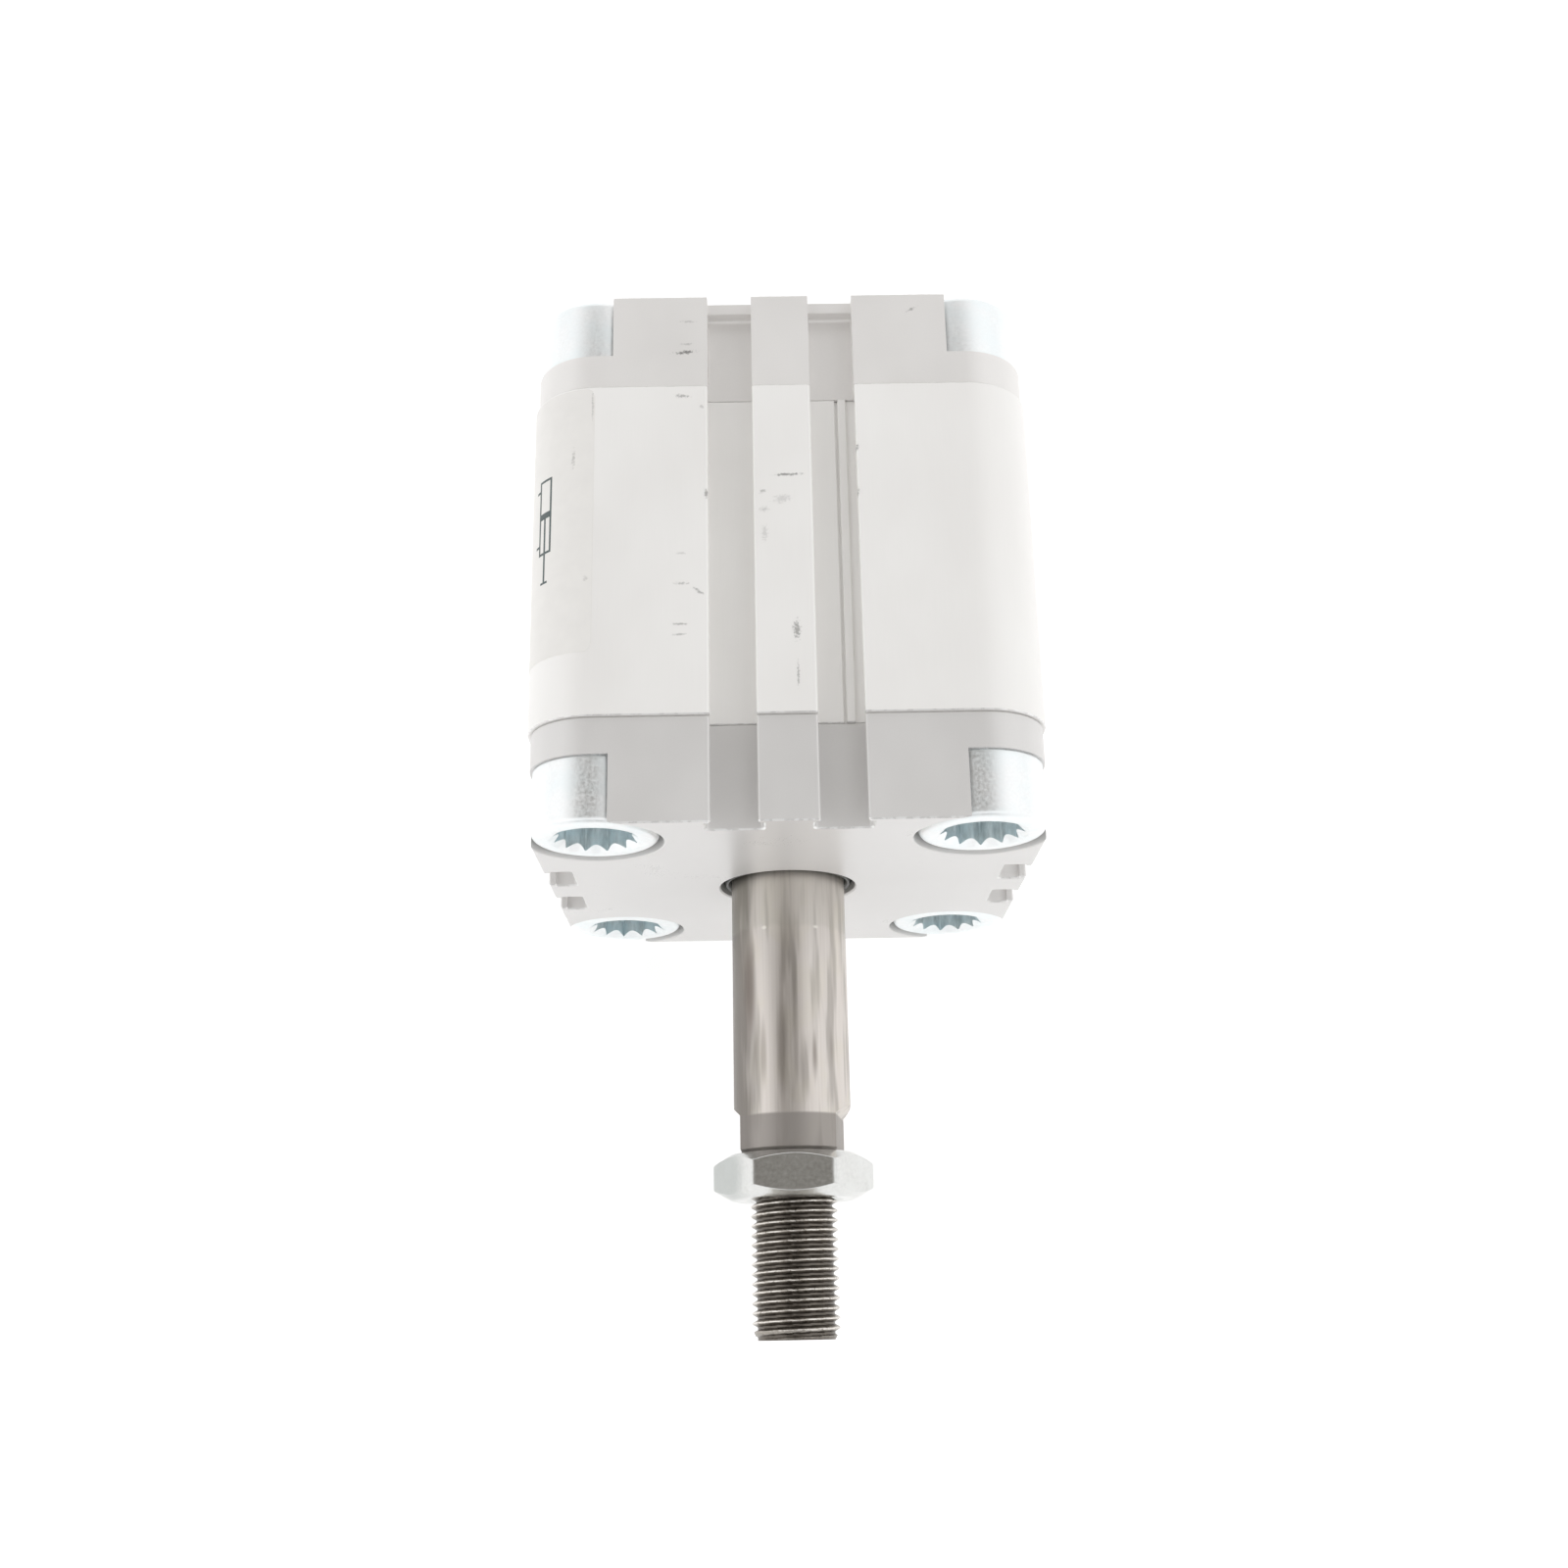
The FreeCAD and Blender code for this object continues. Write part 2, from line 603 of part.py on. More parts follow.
# Two spanner flats with sloping run-outs behind the thread.
s = make_sketch(b, "rod_flat_outline", "XY_Plane")
far = D.rod_rad + 1
top_y = sh + D.flat_len
for sg in (1, -1):
    add_polygon(s, [(sg * D.flat_half, sh - 0.5), (sg * D.flat_half, top_y),
                    (sg * far, top_y + (far - D.flat_half) * 0.9), (sg * far, sh - 0.5)])
pocket(b, s, D.rod_rad * 2 + 4, "rod_flats", both=True)
b.Placement = FreeCAD.Placement(V(0, 0, 0), FreeCAD.Rotation(V(0, 1, 0), 0))
b.setExpression("Placement.Rotation.Angle", "0 - dims.flat_turn")

# Countersunk socket screw that clamps both discs on the rod.
hy = p1 - 0.1
hl = D.screw_head - D.screw_rad
b = turned("piston_screw", [(hy, 0), (hy, D.screw_head - 0.2), (hy - 0.25, D.screw_head),
                            (hy - hl, D.screw_rad), (hy - hl - D.screw_len + 0.8, D.screw_rad),
                            (hy - hl - D.screw_len, D.screw_rad - 0.8),
                            (hy - hl - D.screw_len, 0)])
s = make_sketch(b, "piston_screw_key_outline", "XZ_Plane", z=-hy)
add_polygon(s, [(D.screw_key * round(2 / math.sqrt(3) * math.cos(math.radians(60 * k)), 12),
                 D.screw_key * round(2 / math.sqrt(3) * math.sin(math.radians(60 * k)), 12))
                for k in range(6)])
pocket(b, s, q(2.6), "piston_screw_key", back=False)

# ------------------------------------------------------------------- lock nut
b = make_body("lock_nut")
s = make_sketch(b, "lock_nut_outline", "XZ_Plane", z=-(sh - D.nut_len))
add_polygon(s, [(D.nut_half * round(2 / math.sqrt(3) * math.cos(math.radians(60 * k)), 12),
                 D.nut_half * round(2 / math.sqrt(3) * math.sin(math.radians(60 * k)), 12))
                for k in range(6)])
pad(b, s, D.nut_len, "lock_nut_blank")
s = make_sketch(b, "lock_nut_section", "YZ_Plane")
y0, y1 = sh - D.nut_len, sh
rise = 0.5774
out = D.nut_half + 2.5
add_polygon(s, [(y0 - 0.5, D.nut_face), (y0, D.nut_face), (y0 + (out - D.nut_face) * rise, out),
                (y0 - 0.5, out)])
add_polygon(s, [(y1 + 0.5, D.nut_face), (y1 + 0.5, out), (y1 - (out - D.nut_face) * rise, out),
                (y1, D.nut_face)])
add_polygon(s, [(y0 - 0.5, 0), (y0 - 0.5, D.nut_bore + 1.3), (y0 + 0.8, D.nut_bore),
                (y1 - 0.8, D.nut_bore), (y1 + 0.5, D.nut_bore + 1.3), (y1 + 0.5, 0)])
groove(b, s, "lock_nut_turning")

# ----------------------------------------------------------------- side label
# Thin film on the left side that wraps over the rounded corner.
b = make_body("rating_label")
s = make_sketch(b, "rating_label_section", "XZ_Plane", z=-D.label_from)
H, R, T = D.barrel_half, D.barrel_corner, D.label_thick
k = H - R
mid = math.radians(135)


def arc(r):
    c0 = V(-k.v, k.v, 0)
    return Part.ArcOfCircle(Part.Circle(c0, V(0, 0, 1), r), math.radians(90), math.radians(180))


s.addGeometry(Part.LineSegment(V(-H.v, D.label_low.v, 0), V(-H.v, k.v, 0)), False)      # 0
s.addGeometry(arc(R.v), False)                                                          # 1
s.addGeometry(Part.LineSegment(V(-k.v, H.v, 0), V(-k.v, H.v + T.v, 0)), False)          # 2
s.addGeometry(arc(R.v + T.v), False)                                                    # 3
s.addGeometry(Part.LineSegment(V(-H.v - T.v, k.v, 0), V(-H.v - T.v, D.label_low.v, 0)), False)  # 4
s.addGeometry(Part.LineSegment(V(-H.v - T.v, D.label_low.v, 0), V(-H.v, D.label_low.v, 0)), False)  # 5
s.addConstraint(Sketcher.Constraint("Coincident", 0, 2, 1, 2))
s.addConstraint(Sketcher.Constraint("Coincident", 1, 1, 2, 1))
s.addConstraint(Sketcher.Constraint("Coincident", 2, 2, 3, 1))
s.addConstraint(Sketcher.Constraint("Coincident", 3, 2, 4, 1))
s.addConstraint(Sketcher.Constraint("Coincident", 4, 2, 5, 1))
s.addConstraint(Sketcher.Constraint("Coincident", 5, 2, 0, 1))
s.addConstraint(Sketcher.Constraint("Coincident", 1, 3, 3, 3))
fix(s, "DistanceX", 0, 1, -H)
fix(s, "DistanceY", 0, 1, D.label_low)
fix(s, "DistanceX", 1, 3, -k)
fix(s, "DistanceY", 1, 3, k)
fix(s, "DistanceX", 0, 2, -H)
fix(s, "DistanceY", 0, 2, k)
fix(s, "DistanceX", 2, 1, -k)
fix(s, "DistanceX", 2, 2, -k)
fix(s, "DistanceY", 2, 2, H + T)
fix(s, "DistanceY", 4, 1, k)
fix(s, "DistanceX", 5, 1, -(H + T))
fix(s, "DistanceY", 5, 1, D.label_low)
pad(b, s, D.label_to - D.label_from, "rating_label_film")

# --------------------------------------------------------------- final checks
doc.recompute()
bad = []
for o in doc.Objects:
    state = list(getattr(o, "State", []))
    if "Invalid" in state or "Error" in state:
        bad.append("%s: %s" % (o.Name, state))
for o in NODES:
    sh_ = o.Shape
    if sh_.isNull() or not sh_.isValid() or len(sh_.Solids) < 1:
        bad.append("%s: shape null, invalid or not solid" % o.Label)
if bad:
    raise RuntimeError("; ".join(bad))
for o in NODES:
    shape = o.Shape
    bb = shape.BoundBox
    print("%-22s solids %d  volume %10.1f  x %.2f..%.2f y %.2f..%.2f z %.2f..%.2f" % (
        o.Label, len(shape.Solids), shape.Volume, bb.XMin, bb.XMax, bb.YMin, bb.YMax, bb.ZMin, bb.ZMax))
    shape.exportStep(os.path.join("parts", o.Label + ".step"))
print("nodes", len(NODES))
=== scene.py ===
import math

import bmesh
import bpy
import numpy as np
from mathutils import Matrix, Vector
from mathutils.geometry import tessellate_polygon


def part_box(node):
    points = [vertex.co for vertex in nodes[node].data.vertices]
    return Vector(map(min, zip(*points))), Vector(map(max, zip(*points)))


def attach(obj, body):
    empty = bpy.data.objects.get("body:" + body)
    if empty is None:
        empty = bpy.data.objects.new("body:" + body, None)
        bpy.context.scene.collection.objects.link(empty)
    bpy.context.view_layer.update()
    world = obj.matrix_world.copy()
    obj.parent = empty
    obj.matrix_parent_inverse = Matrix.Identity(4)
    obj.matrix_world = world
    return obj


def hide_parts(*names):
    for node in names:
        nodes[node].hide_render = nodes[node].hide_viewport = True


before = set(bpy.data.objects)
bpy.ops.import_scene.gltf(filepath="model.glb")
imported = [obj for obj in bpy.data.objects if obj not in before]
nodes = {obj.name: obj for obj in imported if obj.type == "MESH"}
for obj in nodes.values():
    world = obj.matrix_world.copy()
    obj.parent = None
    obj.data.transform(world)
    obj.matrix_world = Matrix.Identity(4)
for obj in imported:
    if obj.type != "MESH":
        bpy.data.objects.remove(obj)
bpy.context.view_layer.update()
MM = 0.001
scene = bpy.context.scene

# ------------------------------------------------------------------- places
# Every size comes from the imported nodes; mm from here on.


def box_mm(node):
    lo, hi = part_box(node)
    return np.array(lo) / MM, np.array(hi) / MM


bar_lo, bar_hi = box_mm("barrel_profile")
fc_lo, fc_hi = box_mm("bearing_cap")
ec_lo, ec_hi = box_mm("end_cap")
rod_lo, rod_hi = box_mm("piston_rod")
nut_lo, nut_hi = box_mm("lock_nut")
Y_FRONT = fc_lo[1]                    # front face
Y_B0, Y_B1 = bar_lo[1], bar_hi[1]     # barrel ends
Y_REAR = ec_hi[1]                     # rear face
Y_S0, Y_S1 = fc_hi[1], ec_lo[1]       # spigot faces
BH = bar_hi[0]                        # barrel half width
CH = fc_hi[0]                         # cap half width
Y_TIP, Y_RODEND = rod_lo[1], rod_hi[1]
Y_N0, Y_N1 = nut_lo[1], nut_hi[1]
BOLT = 25.0
CR_B, CR_C = BH - BOLT, CH - BOLT     # corner radii, centred on the screws
SLOT_C, SLOT_H, SLOT_W = 6.9, 3.0, 3.7
LIP, FLOOR = 32.6, 29.7


# --------------------------------------------------------------- 2-D outlines
def fillet_path(verts):
    """Closed polyline from [(x, y, radius, segments), ...] with rounded corners."""
    out = []
    n = len(verts)
    for i in range(n):
        x, y, r, k = verts[i]
        p = np.array([x, y], float)
        a = np.array(verts[i - 1][:2], float)
        b = np.array(verts[(i + 1) % n][:2], float)
        if r <= 0:
            out.append(p)
            continue
        u = (a - p) / np.linalg.norm(a - p)
        w = (b - p) / np.linalg.norm(b - p)
        half = math.acos(max(-1, min(1, float(u @ w)))) / 2
        t = r / math.tan(half)
        c = p + (u + w) / np.linalg.norm(u + w) * (r / math.sin(half))
        p1, p2 = p + u * t, p + w * t
        a1 = math.atan2(*(p1 - c)[::-1])
        a2 = math.atan2(*(p2 - c)[::-1])
        d = (a2 - a1 + math.pi) % (2 * math.pi) - math.pi
        # a point just before and after each arc keeps its shading off the flats
        ext = min(0.08, 0.3 * r)
        out.append(p1 + u * ext)
        for j in range(k + 1):
            q = a1 + d * j / k
            out.append(c + r * np.array([math.cos(q), math.sin(q)]))
        out.append(p2 + w * ext)
    return np.array(out)


def side_slots(top, step=False, e=0.0):
    """Right to left along the top side: both T-slots as fillet vertices, the
    whole outline moved e into the metal."""
    def out(r):
        return max(r - e, 0.02)

    top, lip, low, h, w = top - e, LIP + e, FLOOR - e, SLOT_H + e, SLOT_W + e
    v = []
    for c in (SLOT_C, -SLOT_C):
        v += [(c + h, top, out(0.28), 4), (c + h, lip, out(0.12), 2), (c + w, lip, 0.1 + e, 2)]
        if step and c > 0:
            v += [(c + w, low - 0.3, 0.2 + e, 4), (8.85 - e, low - 0.3, 0.05 + e, 2),
                  (8.85 - e, low + 0.25, out(0.13), 3), (7.75 + e, low + 0.25, out(0.13), 3),
                  (7.75 + e, low - 0.5, 0.05 + e, 2), (7.35 - e, low - 0.5, 0.05 + e, 2),
                  (7.35 - e, low, out(0.13), 3), (c - w, low, 0.45 + e, 4)]
        else:
            v += [(c + w, low, 0.45 + e, 4), (c - w, low, 0.45 + e, 4)]
        v += [(c - w, lip, 0.1 + e, 2), (c - h, lip, out(0.12), 2), (c - h, top, out(0.28), 4)]
    return v


def turn(verts, quarter):
    """Rotates fillet vertices by quarter turns, counter-clockwise."""
    c, s = [(1, 0), (0, 1), (-1, 0), (0, -1)][quarter % 4]
    return [(x * c - y * s, x * s + y * c, r, k) for x, y, r, k in verts]


def square_outline(half, corner, slotted=True, step=False, e=0.0, seg=26):
    """Counter-clockwise outline, moved e into the metal."""
    h, r = half - e, corner - e
    v = [(h, h, r, seg)]
    if slotted:
        v += side_slots(half, step, e)
    v += [(-h, h, r, seg)]
    if slotted:
        v += turn(side_slots(half, False, e), 1)
    v += [(-h, -h, r, seg), (h, -h, r, seg)]
    if slotted:
        v += turn(side_slots(half, False, e), 3)
    return fillet_path(v)


def circle(r, n=96, cx=0.0, cz=0.0, phase=0.0):
    t = np.arange(n) / n * 2 * math.pi + phase
    return np.stack([cx + r * np.cos(t), cz + r * np.sin(t)], 1)


# --------------------------------------------------------------- mesh builder
class Builder:
    def __init__(self):
        self.v, self.f, self.m = [], [], []

    def loop(self, pts2, y):
        """Adds a loop in the XZ plane at y (number or one value per point)."""
        i0 = len(self.v)
        ys = np.broadcast_to(np.asarray(y, float), (len(pts2),))
        for (x, z), yy in zip(pts2, ys):
            self.v.append((x, yy, z))
        return list(range(i0, i0 + len(pts2)))

    def bridge(self, a, b, mat=0):
        n = len(a)
        for i in range(n):
            j = (i + 1) % n
            self.f.append((a[i], a[j], b[j], b[i]))
            self.m.append(mat)

    def fill(self, loops, mat=0):
        """Closes a flat face bounded by loops, the first being the outer one."""
        pts = [[Vector((self.v[i][0], self.v[i][2], 0)) for i in lp] for lp in loops]
        flat = [i for lp in loops for i in lp]
        for t in tessellate_polygon(pts):
            self.f.append(tuple(flat[i] for i in t))
            self.m.append(mat)

    def fan(self, lp, mat=0):
        self.f.append(tuple(lp))
        self.m.append(mat)

    def mesh(self, name, sharp=28.0, merge=1e-4, square=True):
        me = bpy.data.meshes.new(name)
        me.from_pydata([tuple(c * MM for c in v) for v in self.v], [], self.f)
        for p, k in zip(me.polygons, self.m):
            p.material_index = k
        bm = bmesh.new()
        bm.from_mesh(me)
        bmesh.ops.remove_doubles(bm, verts=bm.verts, dist=merge * MM)
        bmesh.ops.dissolve_degenerate(bm, edges=bm.edges, dist=1e-5 * MM)
        bmesh.ops.recalc_face_normals(bm, faces=bm.faces)
        bm.to_mesh(me)
        bm.free()
        finish_mesh(me, sharp, square)
        return me


def finish_mesh(me, sharp=28.0, square=True):
    """Smooth shading with sharp edges; faces square to an axis stay flat."""
    n = np.zeros(len(me.polygons) * 3, np.float32)
    me.polygons.foreach_get("normal", n)
    flat = (np.abs(n.reshape(-1, 3)).max(1) > 0.9999) & square
    me.polygons.foreach_set("use_smooth", ~flat)
    me.set_sharp_from_angle(angle=math.radians(sharp))
    me.update()


def new_object(name, me, body, replaces=(), mats=()):
    o = bpy.data.objects.new(name, me)
    scene.collection.objects.link(o)
    for m in mats:
        me.materials.append(m)
    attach(o, body)
    if replaces:
        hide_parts(*replaces)
    return o


def lathe(profile, n=96, cx=0.0, cz=0.0):
    """Closed solid of revolution about a line along Y. profile: [(y, r), ...];
    points with r = 0 close the ends."""
    b = Builder()
    loops = []
    for y, r in profile:
        if r <= 1e-9:
            loops.append((y, None))
        else:
            loops.append((y, b.loop(circle(r, n, cx, cz), y)))
    for (y0, a), (y1, c) in zip(loops, loops[1:]):
        if a is not None and c is not None:
            b.bridge(a, c)
        elif a is None and c is not None:
            i = len(b.v)
            b.v.append((cx, y0, cz))
            for k in range(n):
                b.f.append((i, c[k], c[(k + 1) % n]))
                b.m.append(0)
        elif c is None and a is not None:
            i = len(b.v)
            b.v.append((cx, y1, cz))
            for k in range(n):
                b.f.append((i, a[(k + 1) % n], a[k]))
                b.m.append(0)
    return b


def ring_lathe(profile, n=128, name="ring", sharp=28.0):
    """Closed ring of revolution from a closed profile [(y, r), ...]."""
    b = Builder()
    loops = [b.loop(circle(r, n), y) for y, r in profile]
    for i in range(len(loops)):
        b.bridge(loops[i], loops[(i + 1) % len(loops)])
    return b.mesh(name, sharp)


def cut(me_base, cutters, name, bevel=None, sharp=28.0):
    """Base mesh minus cutter meshes, with an optional fine bevel."""
    base = bpy.data.objects.new(name + "_base", me_base)
    scene.collection.objects.link(base)
    temp = [base]
    for k, cm in enumerate(cutters):
        c = bpy.data.objects.new(f"{name}_cut{k}", cm)
        scene.collection.objects.link(c)
        temp.append(c)
        mod = base.modifiers.new(f"cut{k}", "BOOLEAN")
        mod.operation = "DIFFERENCE"
        mod.solver = "EXACT"
        mod.object = c
    if bevel:
        mod = base.modifiers.new("bevel", "BEVEL")
        mod.width = bevel * MM
        mod.segments = 2
        mod.limit_method = "ANGLE"
        mod.angle_limit = math.radians(40)
        mod.use_clamp_overlap = True
        mod.harden_normals = False
    dg = bpy.context.evaluated_depsgraph_get()
    me = bpy.data.meshes.new_from_object(base.evaluated_get(dg))
    me.name = name
    for o in temp:
        bpy.data.objects.remove(o)
    bm = bmesh.new()
    bm.from_mesh(me)
    bmesh.ops.holes_fill(bm, edges=[e for e in bm.edges if e.is_boundary], sides=8)
    bmesh.ops.recalc_face_normals(bm, faces=bm.faces)
    bm.to_mesh(me)
    bm.free()
    finish_mesh(me, sharp)
    return me


# ------------------------------------------------------------------ materials
def nt(mat):
    mat.use_nodes = True
    t = mat.node_tree
    t.nodes.clear()
    out = t.nodes.new("ShaderNodeOutputMaterial")
    p = t.nodes.new("ShaderNodeBsdfPrincipled")
    t.links.new(p.outputs[0], out.inputs[0])
    return t, p


def node(t, kind, **kw):
    n = t.nodes.new(kind)
    for k, v in kw.items():
        setattr(n, k, v)
    return n


def coords(t, scale):
    """Object coordinates in mm, stretched by scale."""
    tc = node(t, "ShaderNodeTexCoord")
    mp = node(t, "ShaderNodeMapping")
    mp.inputs["Scale"].default_value = [1000.0 * s for s in scale]
    t.links.new(tc.outputs["Object"], mp.inputs["Vector"])
    return mp.outputs[0]


def noise(t, vec, scale, detail=3.0, rough=0.55):
    n = node(t, "ShaderNodeTexNoise")
    n.inputs["Scale"].default_value = scale
    n.inputs["Detail"].default_value = detail
    n.inputs["Roughness"].default_value = rough
    t.links.new(vec, n.inputs["Vector"])
    return n.outputs[0]


def remap(t, val, a, b, c, d, smooth=False):
    m = node(t, "ShaderNodeMapRange")
    m.interpolation_type = "SMOOTHSTEP" if smooth else "LINEAR"
    m.inputs[1].default_value, m.inputs[2].default_value = a, b
    m.inputs[3].default_value, m.inputs[4].default_value = c, d
    t.links.new(val, m.inputs[0])
    return m.outputs[0]


def math_node(t, op, a, b):
    m = node(t, "ShaderNodeMath", operation=op)
    for i, v in enumerate((a, b)):
        if isinstance(v, (int, float)):
            m.inputs[i].default_value = v
        else:
            t.links.new(v, m.inputs[i])
    return m.outputs[0]


def mix_color(t, fac, a, b):
    m = node(t, "ShaderNodeMix", data_type="RGBA")
    if isinstance(fac, (int, float)):
        m.inputs[0].default_value = fac
    else:
        t.links.new(fac, m.inputs[0])
    for i, v in ((6, a), (7, b)):
        if isinstance(v, tuple):
            m.inputs[i].default_value = (*v, 1.0)
        else:
            t.links.new(v, m.inputs[i])
    return m.outputs[2]


def bump(t, p, height, strength, dist_mm, normal=None):
    b = node(t, "ShaderNodeBump")
    b.inputs["Strength"].default_value = strength
    b.inputs["Distance"].default_value = dist_mm * MM
    t.links.new(height, b.inputs["Height"])
    if normal is not None:
        t.links.new(normal, b.inputs["Normal"])
    t.links.new(b.outputs[0], p.inputs["Normal"])
    return b.outputs[0]


def anodised(name, col_a, col_b, rough=0.42, grain=(1, 1, 1), metallic=0.75, marks=None, worn=False, face=1.0, gloss=0.0):
    m = bpy.data.materials.new(name)
    t, p = nt(m)
    p.inputs["Metallic"].default_value = metallic
    fine = noise(t, coords(t, (6, 6, 6)), 1.0, 2.0)
    lines = noise(t, coords(t, grain), 1.0, 4.0, 0.6)
    cloud = noise(t, coords(t, (0.06, 0.035, 0.06)), 1.0, 3.0)
    c = mix_color(t, remap(t, cloud, 0.35, 0.65, 0.0, 1.0), col_a, col_b)
    c = mix_color(t, remap(t, lines, 0.3, 0.7, 0.0, 0.10), c, tuple(x * 0.82 for x in col_a))
    if worn:
        rub = noise(t, coords(t, (0.9, 0.9, 0.9)), 1.0, 4.0, 0.6)
        c = mix_color(t, remap(t, rub, 0.42, 0.56, 0.1, 0.8, True), c, (0.95, 0.95, 0.945))
    if marks:
        mask = mark_mask(t, marks)
        c = mix_color(t, mask, c, (0.16, 0.155, 0.15))
    front = None
    if face != 1.0 or gloss:                 # painted shade: end faces, with their normal along the axis, are darkened by face; gloss lowers their roughness
        tc = node(t, "ShaderNodeTexCoord")
        sn = node(t, "ShaderNodeSeparateXYZ")
        t.links.new(tc.outputs["Normal"], sn.inputs[0])
        front = remap(t, math_node(t, "ABSOLUTE", sn.outputs[1], 0.0), 0.93, 0.97, 0.0, 1.0)
        c = mix_color(t, front, c, tuple(x * face for x in col_b))
    t.links.new(c, p.inputs["Base Color"])
    r = remap(t, cloud, 0.3, 0.7, rough - 0.04, rough + 0.05)
    if front is not None:
        r = math_node(t, "SUBTRACT", r, math_node(t, "MULTIPLY", front, gloss))
    r = math_node(t, "ADD", r, remap(t, fine, 0.3, 0.7, -0.03, 0.03))
    t.links.new(r, p.inputs["Roughness"])
    h = math_node(t, "ADD", math_node(t, "MULTIPLY", lines, 0.7), math_node(t, "MULTIPLY", fine, 0.3))
    bump(t, p, h, 0.25, 0.012)
    return m


def mark_mask(t, marks):
    """Small dark scuffs: ellipses on upward faces, or on the front face where z is given.
    marks: (x, y, half width, half length, angle in degrees, strength[, z]), mm."""
    tc = node(t, "ShaderNodeTexCoord")
    wob = noise(t, coords(t, (3, 3, 3)), 1.0, 3.0)
    total = None
    for x, y, a, b, ang, k, *z in marks:
        mp = node(t, "ShaderNodeMapping", vector_type="TEXTURE")
        mp.inputs["Location"].default_value = (x * MM, y * MM, z[0] * MM if z else 0.034)
        mp.inputs["Rotation"].default_value = (0, math.radians(ang), 0) if z else (0, 0, math.radians(ang))
        mp.inputs["Scale"].default_value = (a * MM, 2 * MM, b * MM) if z else (a * MM, b * MM, 4 * MM)
        t.links.new(tc.outputs["Object"], mp.inputs["Vector"])
        ln = node(t, "ShaderNodeVectorMath", operation="LENGTH")
        t.links.new(mp.outputs[0], ln.inputs[0])
        d = math_node(t, "ADD", ln.outputs["Value"], remap(t, wob, 0.3, 0.7, -0.5, 0.5))
        v = remap(t, d, 1.1, 0.2, 0.0, k, True)
        total = v if total is None else math_node(t, "MAXIMUM", total, v)
    return total


def metal(name, col, rough, streak=(1, 1, 1), vary=0.12, aniso=0.0, tint=None, bump_mm=0.004, dark=None, shade_spot=None):
    m = bpy.data.materials.new(name)
    t, p = nt(m)
    p.inputs["Metallic"].default_value = 1.0
    if aniso:
        p.inputs["Anisotropic"].default_value = aniso
    s = noise(t, coords(t, streak), 1.0, 4.0, 0.6)
    cloud = noise(t, coords(t, (0.25, 0.25, 0.25)), 1.0, 3.0)
    c = mix_color(t, remap(t, s, 0.35, 0.65, 0.0, 1.0), tuple(x * (1 - vary) for x in col), col)
    if tint:
        c = mix_color(t, remap(t, cloud, 0.4, 0.62, 0.0, 0.55), c, tint)
    if dark:
        c = mix_color(t, remap(t, s, 0.56, 0.66, 0.0, 0.5, True), c, dark)
    if shade_spot:                               # painted shade: a soft dark spot at x, y, z, radius in mm, strength
        x, y, z, rad, k = shade_spot
        tc = node(t, "ShaderNodeTexCoord")
        gap = node(t, "ShaderNodeVectorMath", operation="DISTANCE")
        gap.inputs[1].default_value = (x * MM, y * MM, z * MM)
        t.links.new(tc.outputs["Object"], gap.inputs[0])
        c = mix_color(t, remap(t, gap.outputs["Value"], rad * MM, rad * 0.4 * MM, 0.0, k, True), c, (0.34, 0.37, 0.36))
    t.links.new(c, p.inputs["Base Color"])
    t.links.new(remap(t, s, 0.3, 0.7, rough * 0.8, rough * 1.3), p.inputs["Roughness"])
    bump(t, p, s, 0.3, bump_mm)
    return m


# (x, y, half width, half length, strength) of streaks on the rod's upper side: dark ones are oily streaks and painted
# dark reflections; minus is a painted highlight, the cap's edge reflected
ROD_STREAKS_AND_REFLECTIONS = [(-5.6, -15.5, 1.0, 8.5, 0.8), (-1.3, -24.0, 0.9, 8.0, 0.5), (0.6, -17.0, 0.5, 12.0, 0.3),
               (3.1, -25.0, 0.5, 4.0, 0.6), (5.4, -24.0, 0.5, 5.0, 0.45), (-3.9, -25.0, 0.5, 5.0, 0.45), (-3.4, -7.4, 0.45, 0.35, -0.7), (3.6, -7.4, 0.45, 0.35, -0.7)]


